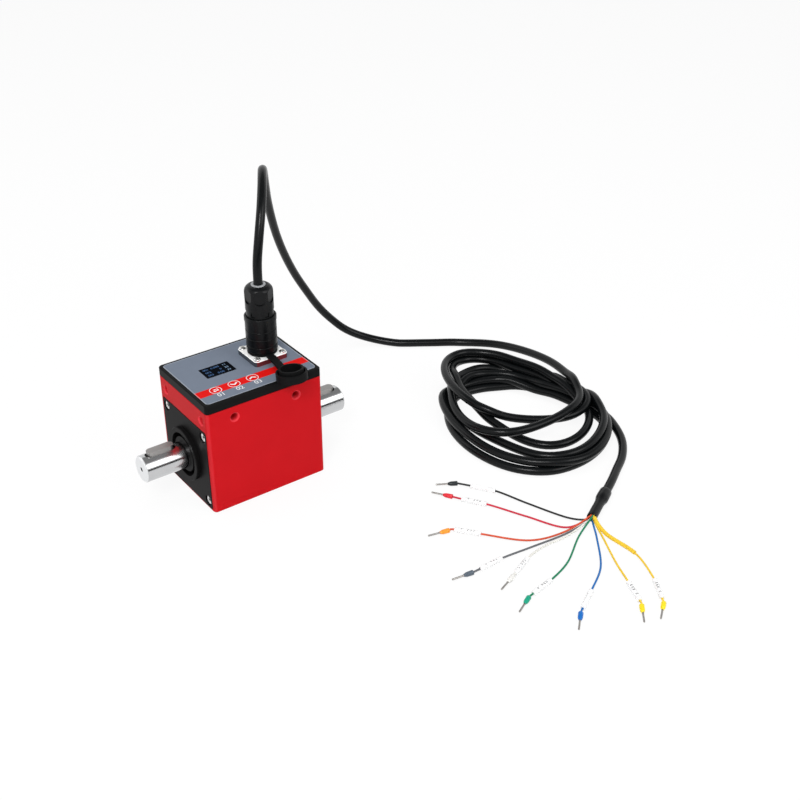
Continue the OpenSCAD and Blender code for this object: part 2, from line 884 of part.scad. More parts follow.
// Holes through the film and the cover that the connector needs
module connector_holes(screw_d) {
    translate([conn_x, conn_y, 0]) {
        cylinder(d = rear_d + 2 * fit_gap, h = deep);
        at_corners(flange_pitch, flange_pitch)
            cylinder(d = screw_d, h = deep);
    }
}

module top_cover() {
    color("#1b1c1e")
        difference() {
            translate([0, 0, housing_h])
                bevelled_plate(housing_l, housing_w, cover_t, housing_r, cover_chamfer);
            translate([0, 0, housing_h - 1])
                rounded_plate(pocket_l, pocket_w, roof_z - housing_h + 1, pocket_r);
            translate([0, 0, label_z])
                rounded_plate(label_l, label_w, deep, label_r);
            translate([display_x, display_y, housing_h])
                rounded_plate(display_l + 2 * fit_gap, display_w + 2 * fit_gap, deep, 2 * fit_gap);
            for (i = [-1 : 1])
                translate([keys_x + i * key_pitch, keys_y, housing_h])
                    cylinder(d = key_hole_d, h = deep);
            connector_holes(flange_thread_d + 2 * seat_gap);
            at_corners(housing_l - 2 * cover_screw_inset, housing_w - 2 * cover_screw_inset) {
                cylinder(d = cover_clear_d, h = deep);
                translate([0, 0, label_z - cover_head_h])
                    cylinder(d1 = cover_clear_d, d2 = cover_head_d + 2 * fit_gap, h = cover_head_h + hair);
            }
        }
}

module cover_screws() {
    color("silver")
        translate([0, 0, label_z - cover_head_h])
            at_corners(housing_l - 2 * cover_screw_inset, housing_w - 2 * cover_screw_inset)
                difference() {
                    union() {
                        cylinder(d1 = cover_thread_d, d2 = cover_head_d, h = cover_head_h);
                        translate([0, 0, cover_head_h - cover_screw_l])
                            cylinder(d = cover_thread_d, h = cover_screw_l - cover_head_h + hair);
                    }
                    translate([0, 0, cover_head_h / 2])
                        cylinder(d = cover_head_d * 0.4, h = cover_head_h, $fn = 6);
                }
}

module label_film() {
    color("#66707f")
        difference() {
            translate([0, 0, label_z])
                rounded_plate(label_l - 2 * fit_gap, label_w - 2 * fit_gap, label_t, label_r - fit_gap);
            translate([display_x, display_y, housing_h])
                rounded_plate(display_l + 2 * fit_gap, display_w + 2 * fit_gap, deep, 2 * fit_gap);
            connector_holes(flange_clear_d);
        }
}

module receptacle_shell() {
    color("#cfd2d6")
        translate([conn_x, conn_y, 0])
            difference() {
                union() {
                    translate([0, 0, top_z])
                        bevelled_plate(flange_w, flange_w, flange_t, flange_r, flange_chamfer);
                    // A pad under each screw head keeps a wall round its hole
                    translate([0, 0, top_z + hair])
                        at_corners(flange_pitch, flange_pitch)
                            cylinder(d = flange_head_d, h = flange_t - 2 * hair);
                    translate([0, 0, top_z - rear_l])
                        cylinder(d = rear_d, h = rear_l + hair);
                    translate([0, 0, flange_z - hair])
                        cylinder(d = neck_d, h = neck_l + hair);
                }
                cylinder(r = neck_bore_r, h = deep);
                translate([0, 0, top_z - 1])
                    at_corners(flange_pitch, flange_pitch)
                        cylinder(d = flange_clear_d, h = deep);
            }
}

// Children are put at every contact: one circle of them and one in the middle
module at_contacts() {
    children();
    for (i = [0 : contact_count - 1])
        rotate([0, 0, i * 360 / contact_count])
            translate([contact_ring_r, 0, 0])
                children();
}

module receptacle_insert() {
    insert_l = insert_top_z - top_z + rear_l;
    color("#2b2d30")
        translate([conn_x, conn_y, insert_top_z - insert_l])
            difference() {
                cylinder(r = neck_bore_r - seat_gap, h = insert_l);
                at_contacts()
                    translate([0, 0, -1])
                        cylinder(d = contact_d + 2 * seat_gap, h = deep);
            }
}

module receptacle_pins() {
    low = top_z - rear_l - contact_drop;
    color("#d9b04a")
        translate([conn_x, conn_y, low])
            at_contacts()
                cylinder(d = contact_d, h = insert_top_z + contact_rise - low);
}

// A domed screw with a cross recess, its head standing on z = 0 and its thread going down
module pan_screw(head_d, head_h, thread_d, thread_l) {
    dome_r = head_d * head_d / 4 / head_h;
    recess_w = head_d / 6;
    recess_l = head_d * 0.6;
    difference() {
        union() {
            intersection() {
                cylinder(d = head_d, h = head_h);
                translate([0, 0, head_h - dome_r])
                    sphere(r = dome_r);
            }
            translate([0, 0, -thread_l])
                cylinder(d = thread_d, h = thread_l + hair);
        }
        for (turn = [30, 120])
            rotate([0, 0, turn])
                translate([0, 0, head_h])
                    cube([recess_l, recess_w, head_h], center = true);
    }
}

module receptacle_screws() {
    color("#dfe2e6")
        translate([conn_x, conn_y, flange_z])
            at_corners(flange_pitch, flange_pitch)
                pan_screw(flange_head_d, flange_head_h, flange_thread_d, flange_screw_l);
}

// The cap's double wall, turned about its own axis
module cap_cup() {
    r = cap_d / 2;
    rotate_extrude() {
        square([r, cap_base]);
        translate([r - cap_wall, 0])
            square([cap_wall, cap_h]);
        translate([cap_inner_r, 0])
            square([cap_wall, cap_h + cap_lip]);
    }
}

// Cap, strap and tether ring, moulded as one piece; the strap leaves the connector along -Y
module dust_cap() {
    tether_d = sleeve_d - 2 * run_gap;
    edge_y = flange_w / 2 + 3;
    cap_far_y = cap_reach - cap_d / 2 * cos(cap_tilt);
    cap_far_z = cap_z + strap_lift;
    color("#141516")
        translate([conn_x, conn_y, 0])
            rotate([0, 0, cap_swing]) {
                translate([0, 0, tether_z])
                    ring(tether_d, neck_d + 2 * run_gap, strap_t);
                translate([-strap_w / 2, 0, 0])
                    rotate([90, 0, 90])
                        linear_extrude(strap_w)
                            polygon([
                                [-tether_d / 2 + 1, tether_z],
                                [-tether_d / 2 + 1, tether_z + strap_t],
                                [-edge_y, tether_z + strap_t],
                                [-cap_far_y - cap_wall / 2, cap_far_z + strap_t],
                                [-cap_far_y - cap_wall / 2, cap_far_z],
                                [-edge_y, tether_z]]);
                translate([0, -cap_reach, cap_z + cap_d / 2 * sin(cap_tilt)])
                    rotate([-cap_tilt, 0, 0])
                        cap_cup();
            }
}

// The plug's nose, its body, and the threaded stub that the gland nut screws on to
module plug_body() {
    shoulder_r = neck_r - fit_gap;
    bore_r = nose_r - nose_wall;
    shoulder_z = flange_z + neck_l + run_gap;
    color("#17181a")
        translate([conn_x, conn_y, 0])
            difference() {
                union() {
                    translate([0, 0, nose_z])
                        cylinder(r = nose_r, h = plug_low_z - nose_z);
                    translate([0, 0, shoulder_z])
                        cylinder(r = shoulder_r, h = plug_low_z - shoulder_z + hair);
                    translate([0, 0, plug_low_z])
                        cylinder(d = plug_d, h = plug_top_z - plug_low_z);
                    translate([0, 0, plug_top_z - hair])
                        cylinder(d = gland_thread_d, h = gland_thread_l + hair);
                }
                translate([0, 0, nose_z - 1])
                    cylinder(r = bore_r, h = lead_z - nose_z + 1);
                cylinder(d = cable_bore_d, h = deep);
                for (i = [0 : notch_count - 1])
                    rotate([0, 0, (i + 0.5) * 360 / notch_count])
                        translate([plug_d / 2, 0, plug_top_z])
                            cube([2 * notch_depth, notch_w, 2 * (plug_show - 1)], center = true);
            }
}

module plug_insert() {
    insert_l = neck_l - 2;
    color("#3a3d40")
        translate([conn_x, conn_y, nose_z])
            difference() {
                cylinder(r = nose_r - nose_wall - seat_gap, h = insert_l);
                at_contacts()
                    translate([0, 0, -1])
                        cylinder(d = contact_d + 2 * fit_gap, h = contact_rise + 2);
            }
}

// The sliding sleeve that locks the plug, with grip grooves round it
module coupling_sleeve() {
    r = sleeve_d / 2;
    low_r = neck_r + run_gap;
    high_r = plug_d / 2 + run_gap;
    step = sleeve_step_z - sleeve_z;
    color("#141516")
        translate([conn_x, conn_y, sleeve_z])
            rotate_extrude()
                difference() {
                    union() {
                        translate([low_r, 0])
                            square([r - low_r, step + hair]);
                        translate([high_r, step])
                            square([r - high_r, sleeve_l - step]);
                        translate([high_r, sleeve_l - rim_h])
                            square([r + rim_extra / 2 - high_r, rim_h]);
                    }
                    for (i = [0 : grip_count - 1])
                        translate([r, grip_first + i * grip_pitch])
                            circle(d = grip_w);
                    for (corner = [[r, 0], [r + rim_extra / 2, sleeve_l]])
                        translate(corner)
                            rotate(45)
                                square(sleeve_chamfer * sqrt(2), center = true);
                }
}

// The gland nut: rounded on top, with flats that end in a round heel
module gland_nut() {
    r = nut_d / 2;
    seat_z = plug_top_z + gland_thread_l + fit_gap - nut_z;
    heel_r = flat_w / 2;
    color("#17181a")
        translate([conn_x, conn_y, nut_z])
            difference() {
                rotate_extrude()
                    union() {
                        square([r, nut_h - nut_round]);
                        square([r - nut_round, nut_h]);
                        translate([r - nut_round, nut_h - nut_round])
                            intersection() {
                                circle(nut_round);
                                square(nut_round);
                            }
                    }
                translate([0, 0, -1])
                    cylinder(d = gland_thread_d + 2 * fit_gap, h = seat_z + 1);
                cylinder(d = seal_d + 2 * seat_gap, h = deep);
                for (i = [0 : flat_count - 1])
                    rotate([0, 0, flat_turn + i * 360 / flat_count])
                        translate([r - flat_depth, 0, flat_start + heel_r]) {
                            translate([0, -heel_r, 0])
                                cube([r, flat_w, nut_h]);
                            rotate([0, 90, 0])
                                cylinder(r = heel_r, h = r);
                        }
            }
}

module gland_seal() {
    color("#b9bcbe")
        translate([conn_x, conn_y, seal_z])
            ring(seal_d, cable_bore_d, seal_l);
}

// Direction of a route at one of its points
function heading(route, i) =
    let (ahead = route[min(i + 1, len(route) - 1)], behind = route[max(i - 1, 0)])
    (ahead - behind) / norm(ahead - behind);

// A sideways direction carried along the route without twisting
function sideways(route, i) =
    let (t = heading(route, i),
         last = i == 0 ? (abs(t.z) > 0.9 ? [1, 0, 0] : [0, 0, 1]) : sideways(route, i - 1),
         flat = last - (last * t) * t)
    flat / norm(flat);

function route_ring(route, i, d, sides) =
    let (n = sideways(route, i), b = cross(heading(route, i), n))
    [for (k = [0 : sides - 1]) route[i] + d / 2 * (cos(k * 360 / sides) * n + sin(k * 360 / sides) * b)];

// A plain cord swept along its route
module cord(route, d, sides) {
    last = len(route) - 1;
    polyhedron(
        points = [for (i = [0 : last]) each route_ring(route, i, d, sides)],
        faces = [
            [for (k = [0 : sides - 1]) k],
            for (i = [0 : last - 1], k = [0 : sides - 1])
                let (a = i * sides + k, b = i * sides + (k + 1) % sides)
                [a, a + sides, b + sides, b],
            [for (k = [sides - 1 : -1 : 0]) last * sides + k]]);
}

// Children drawn along +Z from z = 0 are laid from one point towards another
module towards(from, to) {
    v = to - from;
    translate(from)
        rotate([0, acos(v.z / norm(v)), atan2(v.y, v.x)])
            children();
}

module cable_lead() {
    color("#151617")
        cord(lead_route, cable_d, cable_sides);
}

// The outline of the coil at one radius
module coil_outline(r) {
    square([2 * r, coil_straight], center = true);
    for (y = [-1, 1])
        translate([0, y * coil_straight / 2])
            circle(r);
}

module cable_coil() {
    color("#151617")
        translate([coil_c.x, coil_c.y, 0])
            linear_extrude(coil_h)
                difference() {
                    coil_outline(coil_outer_r);
                    coil_outline(coil_inner_r);
                }
}

module cable_tail() {
    color("#151617")
        cord(tail_route, cable_d, cable_sides);
}

// The sleeve shrunk over the cable's end, from which the wires come out
module heat_shrink() {
    tail_end = tail_route[len(tail_route) - 1];
    color("#101112")
        towards(tail_end, shrink_to)
            difference() {
                union() {
                    translate([0, 0, -shrink_hold])
                        cylinder(d = shrink_d, h = shrink_hold);
                    cylinder(d1 = shrink_d, d2 = shrink_neck_d, h = shrink_step);
                    translate([0, 0, shrink_step - hair])
                        cylinder(d = shrink_neck_d, h = shrink_l - shrink_step + hair);
                }
                translate([0, 0, -shrink_hold - 1])
                    cylinder(d = cable_bore_d, h = shrink_hold + 1 + hair);
            }
}

// Where the wires leave the heat-shrink sleeve, spread across its end
shrink_end = let (a = tail_route[len(tail_route) - 1], v = shrink_to - a)
    a + v / norm(v) * (shrink_l + fan_start);
shrink_across = let (v = shrink_to - tail_route[len(tail_route) - 1])
    [v.y, -v.x, 0] / norm(v);

// The whole route of a wire with its heights, from the sleeve to the ferrule's tip
function wire_path(i) =
    let (spread = 1 - 2 * i / (len(wire_routes) - 1))
    [shrink_end + fan_half * spread * shrink_across + [0, 0, (i % 3 - 1) * fan_rise],
     for (p = wire_routes[i]) [p.x, p.y, marker_d / 2]];

module wire(i) {
    path = wire_path(i);
    color(wire_paints[i])
        cord([for (k = [0 : 5]) path[k]], wire_d, wire_sides);
}

// A thicker sleeve on the shield wire's first straight stretch
module shield_sleeve() {
    last = len(wire_routes) - 1;
    path = wire_path(last);
    color(wire_paints[last])
        towards(path[1], path[2])
            ring(shield_sleeve_d, wire_d + 2 * fit_gap, norm(path[2] - path[1]));
}

// One marker sleeve on the straight part of each wire
module wire_markers() {
    color("#f2f1ec")
        for (i = [0 : len(wire_routes) - 1]) {
            path = wire_path(i);
            towards((path[3] + path[4]) / 2, path[4])
                translate([0, 0, -marker_l / 2])
                    ring(marker_d, wire_d + 2 * fit_gap, marker_l);
        }
}

module ferrule_collars() {
    for (i = [0 : len(wire_routes) - 1]) {
        path = wire_path(i);
        color(wire_paints[i])
            towards(path[5], path[6])
                translate([0, 0, run_gap])
                    cylinder(d = ferrule_d, h = ferrule_l);
    }
}

module ferrule_pins() {
    color("#c8ccd0")
        for (i = [0 : len(wire_routes) - 1]) {
            path = wire_path(i);
            towards(path[5], path[6])
                translate([0, 0, run_gap + ferrule_l])
                    cylinder(d = pin_d, h = pin_l);
        }
}

housing();
end_cover(-1);  // end_cover_left
end_cover(1);  // end_cover_right
end_cover_screws();
shaft();
key(-1);  // key_left
key(1);  // key_right
shaft_collar(-1);  // shaft_collar_left
shaft_collar(1);  // shaft_collar_right
bearing_outer(-1);  // bearing_outer_left
bearing_inner(-1);  // bearing_inner_left
bearing_balls(-1);  // bearing_balls_left
bearing_outer(1);  // bearing_outer_right
bearing_inner(1);  // bearing_inner_right
bearing_balls(1);  // bearing_balls_right
rotor_coil();
stator_coil();
strain_gauges();
speed_disc();
speed_pickup();
main_board();
board_screws();
display_module();
display_window();
key_switches();
key_plunger(1);  // key_plunger_1
key_plunger(2);  // key_plunger_2
key_plunger(3);  // key_plunger_3
top_cover();
cover_screws();
label_film();
receptacle_shell();
receptacle_insert();
receptacle_pins();
receptacle_screws();
dust_cap();
plug_body();
plug_insert();
coupling_sleeve();
gland_nut();
gland_seal();
cable_lead();
cable_coil();
cable_tail();
heat_shrink();
for (i = [0 : len(wire_names) - 1])
    wire(i);
shield_sleeve();
wire_markers();
ferrule_collars();
ferrule_pins();
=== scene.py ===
# %% [markdown]
# # A rotary torque sensor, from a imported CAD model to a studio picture
# The sensor is a red block with a keyed steel shaft through it, a printed label and a small display on
# top, and a cable that lies in a loose coil and ends in nine marked wires. The CAD model already has
# every rigid piece at its right size and place, so this lesson loads it as a fixed frame, adds what is
# soft or printed, and gives every surface its finish.

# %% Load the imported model
import math

import bpy
import numpy as np
from mathutils import Matrix, Vector


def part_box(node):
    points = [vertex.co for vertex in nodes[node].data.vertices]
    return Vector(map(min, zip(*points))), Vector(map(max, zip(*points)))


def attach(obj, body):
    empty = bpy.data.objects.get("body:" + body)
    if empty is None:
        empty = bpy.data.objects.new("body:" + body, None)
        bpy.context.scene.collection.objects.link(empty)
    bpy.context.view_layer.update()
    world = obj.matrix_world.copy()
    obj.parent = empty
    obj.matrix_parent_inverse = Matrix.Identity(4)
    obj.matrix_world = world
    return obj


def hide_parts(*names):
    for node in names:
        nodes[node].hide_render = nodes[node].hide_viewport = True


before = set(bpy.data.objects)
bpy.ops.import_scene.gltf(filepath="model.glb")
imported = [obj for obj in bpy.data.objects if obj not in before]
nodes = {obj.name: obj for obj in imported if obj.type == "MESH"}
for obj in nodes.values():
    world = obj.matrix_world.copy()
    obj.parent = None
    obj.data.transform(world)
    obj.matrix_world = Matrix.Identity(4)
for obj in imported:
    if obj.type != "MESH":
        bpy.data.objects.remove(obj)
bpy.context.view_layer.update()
MM = 0.001
print("CAD nodes:", len(nodes))

# %% [markdown]
# ## The camera
# The photograph was taken from the front left and above, with a fairly long lens. A camera can be aimed
# with a constraint or placed by its angles. Angles are simpler to check here: turn about the upright
# axis, then tilt down from the horizon.

# %% Camera
CAMERA_PLACE = (-0.3273, -0.6223, 0.4787)
CAMERA_TURN = -36.21
CAMERA_DOWN = 31.37
CAMERA_LENS = 56.03


def add_camera():
    turn = (math.radians(90 - CAMERA_DOWN), 0, math.radians(CAMERA_TURN))
    bpy.ops.object.camera_add(location=CAMERA_PLACE, rotation=turn)
    camera = bpy.context.object
    camera.name = "studio_camera"
    camera.data.sensor_width = 36
    camera.data.lens = CAMERA_LENS
    camera.data.clip_start = 0.01
    bpy.context.scene.camera = camera
    return camera


print("camera:", add_camera().name)

# %% [markdown]
# ## The cable's route
# The cable leaves the plug upwards, arches over behind the sensor, and lies on the table in six loose
# turns. A cable has a fixed length and a fixed thickness, so its centre line is laid out first, in
# millimetres, with about a dozen points for each turn. A smooth curve then goes through all the points.

# %% Route points of the cable
LEAD = [
    (20, 4, 117.5), (20, 4, 132.15), (21, 5, 146), (25, 8, 161), (31, 14, 175), (39, 25, 185), (49, 41, 189),
    (57, 54, 182), (64, 65, 168), (71, 75, 151), (80, 85, 129), (88, 92, 111), (97, 98, 93), (107, 103, 75),
    (118, 106, 57), (129, 108, 40), (140, 107, 26), (152, 103, 14), (167, 94, 6), (184, 78, 3), (204, 64, 3),
    (225, 49, 3), (241, 28, 6), (247, 3, 10), (247, -20, 14), (244, -44, 17)]
TURNS = [
    [(227, -86, 19), (203, -95, 18), (178, -95, 17), (153, -91, 17), (141, -68, 15), (146, -43, 13),
     (158, -21, 13), (178, -4, 11), (201, 3, 10), (221, -11, 9), (230, -36, 10), (232, -61, 15)],
    [(240, -81, 14), (222, -95, 14), (198, -93, 13), (181, -76, 11), (160, -65, 17), (154, -43, 22),
     (159, -20, 21), (169, 2, 20), (188, 17, 19), (209, 7, 18), (221, -13, 17), (228, -37, 17),
     (232, -61, 15)],
    [(236, -75, 10), (224, -99, 9), (201, -113, 8), (176, -110, 7), (165, -86, 7), (159, -61, 14),
     (162, -35, 17), (171, -10, 16), (185, 13, 15), (208, 10, 14), (219, -14, 13), (227, -39, 12),
     (236, -64, 10)],
    [(237, -91, 14), (224, -113, 13), (201, -127, 11), (176, -130, 10), (158, -112, 9), (151, -86, 9),
     (146, -59, 9), (151, -33, 9), (165, -10, 9), (191, -6, 9), (214, -20, 9), (227, -42, 10),
     (231, -69, 12)],
    [(239, -91, 8.5), (227, -114, 8), (203, -130, 8), (177, -133, 8), (153, -118, 8), (140, -93, 8),
     (138, -65, 9), (143, -37, 10), (157, -12, 9), (183, -8, 8), (209, -19, 6), (224, -42, 6),
     (231, -69, 8)],
    [(239, -93, 3), (225, -116, 3), (198, -130, 3), (167, -130, 3), (144, -113, 3), (135, -84, 3),
     (137, -54, 3), (151, -26, 3), (176, -10, 3), (205, -19, 3), (225, -40, 3), (234, -70, 3), (240, -99, 3)]]
TAIL = [
    (235, -112, 3), (230, -123, 3), (222, -133, 3), (211, -143, 3), (197, -152, 3.5), (183, -161, 4.3),
    (165, -171, 4.3)]
CABLE_D = 6.0
CABLE_STEP = 4.0


def smooth_through(points, steps=12):
    """A smooth line through all the points, with steps pieces between each two."""
    points = np.array(points, float)
    ends = np.vstack([2 * points[0] - points[1], points, 2 * points[-1] - points[-2]])
    line = []
    for before, here, there, after in zip(ends, ends[1:], ends[2:], ends[3:]):
        for u in np.linspace(0, 1, steps, endpoint=False):
            straight = 2 * here + (there - before) * u
            curved = (2 * before - 5 * here + 4 * there - after) * u ** 2
            eased = (3 * here - before - 3 * there + after) * u ** 3
            line.append((straight + curved + eased) / 2)
    return np.array(line + [points[-1]])


def even_steps(line, step):
    """The same line with its points a fixed step apart."""
    travelled = np.r_[0, np.cumsum(np.linalg.norm(np.diff(line, axis=0), axis=1))]
    places = np.linspace(0, travelled[-1], int(round(travelled[-1] / step)) + 1)
    return np.stack([np.interp(places, travelled, line[:, i]) for i in range(3)], 1)


laid = even_steps(smooth_through(LEAD + [p for turn in TURNS for p in turn] + TAIL), CABLE_STEP)
print("cable points:", len(laid), "length in mm:", round(CABLE_STEP * (len(laid) - 1)))

# %% [markdown]
# ## Let the turns settle on each other
# Turns as they are listed cut through each other where they cross. A rigid-body or cloth simulation
# could sort that out, but a short loop of our own is quicker and gives the same result on every run. Each
# round pushes apart points that are closer than one diameter, straightens sharp bends as a stiff jacket
# does, pulls the cable gently back to where it was laid, and keeps it on the table.

# %% Settle the coil
# Counts of rounds and points, shares of a whole move in one round, and a radius in millimetres
SETTLE_ROUNDS = 260
FIRST_ROUNDS = 14
EASE_POINTS = 15
NEIGHBOURS = 5
SPREAD_POINTS = 5
FIRST_SHARE = 0.6
PUSH_SHARE = 0.35
STIFF_SHARE = 0.28
STRAIGHT_SHARE = 0.22
HOME_SHARE = 0.03
LEAST_LIFT = 0.6
TIGHT_RADIUS = 28


def bend_of(line):
    """How far each point is from the middle of its two neighbours."""
    away = np.zeros_like(line)
    away[1:-1] = (line[:-2] + line[2:]) / 2 - line[1:-1]
    return away


def nearest(line, point):
    return int(np.linalg.norm(line - np.array(point), axis=1).argmin())


def settle(line, first, last):
    line = line.copy()
    count = np.arange(len(line))
    free = np.clip((count - first) / EASE_POINTS, 0, 1) * np.clip((last - count) / EASE_POINTS, 0, 1)
    for _ in range(FIRST_ROUNDS):
        line += FIRST_SHARE * bend_of(line) * free[:, None]
    home = line.copy()
    loose = np.where(free > 0)[0]
    apart = np.abs(loose[None, :] - loose[:, None]) > NEIGHBOURS
    for _ in range(SETTLE_ROUNDS):
        part = line[loose]
        offset = part[None, :, :] - part[:, None, :]
        distance = np.linalg.norm(offset, axis=2)
        one, other = np.where((distance < CABLE_D) & apart)
        gap = np.maximum(distance[one, other], 1e-6)[:, None]
        way = offset[one, other] / gap
        lift = np.where(home[loose][other, 2] >= home[loose][one, 2], LEAST_LIFT, -LEAST_LIFT)
        way[:, 2] = np.where(np.abs(way[:, 2]) < LEAST_LIFT, lift, way[:, 2])
        way /= np.linalg.norm(way, axis=1)[:, None]
        push = np.zeros_like(part)
        touches = np.zeros(len(part))
        np.add.at(push, one, -PUSH_SHARE * (CABLE_D - gap) * way)
        np.add.at(touches, one, 1)
        line[loose] += push / np.sqrt(np.maximum(touches, 1))[:, None] * free[loose][:, None]
        away = bend_of(line)
        line -= STIFF_SHARE * bend_of(away) * free[:, None]
        sharp = np.clip(np.linalg.norm(away, axis=1) * 2 / CABLE_STEP ** 2 * TIGHT_RADIUS - 1, 0, 1)
        sharp = np.convolve(sharp, np.ones(SPREAD_POINTS) / SPREAD_POINTS, "same")
        line += STRAIGHT_SHARE * away * (sharp * free)[:, None]
        line[:, :2] += HOME_SHARE * (home - line)[:, :2] * (free * (1 - sharp))[:, None]
        line[:, 2] += HOME_SHARE * (home - line)[:, 2] * free
        line[:, 2] = np.maximum(line[:, 2], CABLE_D / 2)
    return line


cable_line = settle(laid, nearest(laid, (225, 49, 3)), nearest(laid, (222, -133, 3)))

# %% [markdown]
# ## The cable as a curve
# A curve with a round bevel is the natural form for a cord: its line is the centre of the cable, and the
# radius of its points is the radius of the cable. Blender adds that radius to the curve's bounds too, so
# it is set in metres, and the bevel depth stays at 1. The curve replaces the three plain solids that
# stand for the cable in the CAD model.

# %% Cable


def cord_curve(name, line, diameter, resolution=4):
    """A round cord along a line in millimetres."""
    curve = bpy.data.curves.new(name, "CURVE")
    curve.dimensions = "3D"
    curve.bevel_depth = 1.0
    curve.bevel_resolution = resolution
    curve.use_fill_caps = True
    spline = curve.splines.new("POLY")
    spline.points.add(len(line) - 1)
    spline.points.foreach_set("co", np.c_[np.array(line) * MM, np.ones(len(line))].ravel())
    spline.points.foreach_set("radius", np.full(len(line), diameter / 2 * MM))
    spline.use_smooth = True
    cord = bpy.data.objects.new(name, curve)
    bpy.context.collection.objects.link(cord)
    return cord


cable = cord_curve("cable", cable_line, CABLE_D, 7)
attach(cable, "stator")
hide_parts("cable_lead", "cable_coil", "cable_tail")
print("made", cable.name)

# %% [markdown]
# ## The nine wires
# At the end of the cable the wires fan out on the table. Each runs from inside the heat-shrink sleeve,
# over two easy bends, through its white marker and into its ferrule. They are curves too. The points
# repeat the route that the CAD model uses.

# %% Wires
TAIL_END = np.array([165, -171, 4.3])
TAIL_WAY = np.array([-18, -10, 0]) / math.hypot(18, 10)
FAN_WAY = np.array([TAIL_WAY[1], -TAIL_WAY[0], 0])
SLEEVE_REACH = 22.8
MOUTH = TAIL_END + SLEEVE_REACH * TAIL_WAY
WIRE_D = 1.3
WIRE_START = 7
FAN_HALF = 1.9
BUNDLE_HALF = 1.2
BUNDLE_RISE = 0.8
LIE_Z = 1.6
LOW_Z = 1.2
WIRE_ROUTES = {
    "black": [(136, -170), (126, -143), (118, -121), (108, -106), (103, -99), (91, -92)],
    "red": [(128, -177), (116, -153), (104, -129), (94, -114), (91, -109), (83, -97)],
    "orange": [(124, -180), (101, -173), (81, -151), (70, -137), (67, -136), (54, -133)],
    "grey": [(124, -182), (98, -179), (76, -177), (58, -177), (53, -177), (39, -175)],
    "white": [(124, -184), (106, -183), (89, -186), (72, -193), (70, -194), (57, -199)],
    "green": [(128, -189), (106, -203), (86, -210), (69, -213), (65, -214), (51, -221)],
    "blue": [(136, -197), (119, -218), (99, -231), (83, -240), (80, -242), (69, -252)],
    "yellow": [(139, -200), (129, -221), (122, -238), (115, -255), (113, -258), (103, -270)],
    "shield": [(144, -197), (145, -222), (136, -246), (127, -261), (125, -264), (113, -273)]}


def wire_line(index, route):
    """The wire's centre line from inside the sleeve to the start of its ferrule."""
    spread = 1 - 2 * index / (len(WIRE_ROUTES) - 1)
    rise = np.array([0, 0, (index % 3 - 1) * WIRE_D])
    out = MOUTH + FAN_HALF * spread * FAN_WAY + rise
    inside = MOUTH - WIRE_START * TAIL_WAY + BUNDLE_HALF * spread * FAN_WAY + rise * BUNDLE_RISE
    heights = (LIE_Z, LOW_Z, LIE_Z, LIE_Z, LIE_Z)
    on_table = [(x, y, z) for (x, y), z in zip(route, heights)]
    return even_steps(smooth_through([inside, out] + on_table, 16), 1.5)


wires = {}
for index, (colour, route) in enumerate(WIRE_ROUTES.items()):
    wire = cord_curve("wire_" + colour + "_lead", wire_line(index, route), WIRE_D, 3)
    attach(wire, "stator")
    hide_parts("wire_" + colour)
    "wire_yellow" if colour == "shield" else "wire_" + colour
    wires[colour] = wire
print("wires:", ", ".join(wires))

# %% [markdown]
# ## Turned pieces
# Ferrules, markers and the heat-shrink sleeve are all round along one line. They could be spun from a
# drawn profile. Here each starts as a filled circle that is extruded ring by ring and scaled as it goes,
# which is the way one would pull it up by hand. The finished piece is laid along its wire, and its place
# is applied.

# %% Helpers for turned pieces


def select_only(piece):
    bpy.ops.object.select_all(action="DESELECT")
    piece.select_set(True)
    bpy.context.view_layer.objects.active = piece


def turned(name, profile, sides=24, smooth=35):
    """A closed round solid along Z. The profile lists (height, radius) in millimetres."""
    bpy.ops.object.select_all(action="DESELECT")
    height, radius = profile[0]
    bpy.ops.mesh.primitive_circle_add(
        vertices=sides, radius=radius * MM, fill_type="NGON", location=(0, 0, height * MM))
    piece = bpy.context.object
    piece.name = name
    bpy.ops.object.transform_apply(location=True, rotation=True, scale=True)
    bpy.ops.object.mode_set(mode="EDIT")
    bpy.ops.mesh.select_all(action="SELECT")
    for new_height, new_radius in profile[1:]:
        bpy.ops.mesh.extrude_region_move(
            TRANSFORM_OT_translate={"value": (0, 0, (new_height - height) * MM)})
        grow = new_radius / radius
        bpy.ops.transform.resize(value=(grow, grow, 1), center_override=(0, 0, new_height * MM))
        height, radius = new_height, new_radius
    bpy.ops.mesh.select_all(action="SELECT")
    bpy.ops.mesh.normals_make_consistent(inside=False)
    bpy.ops.object.mode_set(mode="OBJECT")
    bpy.ops.object.shade_smooth_by_angle(angle=math.radians(smooth))
    return piece


def copy_of(piece, name):
    twin = piece.copy()
    twin.data = piece.data.copy()
    twin.name = name
    bpy.context.collection.objects.link(twin)
    return twin


def lay_along(piece, start, end):
    """Puts the piece's foot at start and its Z axis towards end, both in millimetres."""
    way = Vector(end) - Vector(start)
    turn = way.to_track_quat("Z", "Y").to_matrix().to_4x4()
    piece.matrix_world = Matrix.Translation(Vector(start) * MM) @ turn
    select_only(piece)
    bpy.ops.object.transform_apply(location=True, rotation=True, scale=True)
    return piece


def ride_on_stator(piece, slot, *replaced):
    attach(piece, "stator")
    if replaced:
        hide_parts(*replaced)
    return piece


print("helpers for turned pieces are ready")

# %% [markdown]
# ## Heat-shrink sleeve
# The sleeve has been shrunk over the end of the cable's jacket and over the bundle of wires beyond it. It
# bulges where the jacket ends, and its rims are not quite round because the heat drew them in unevenly.

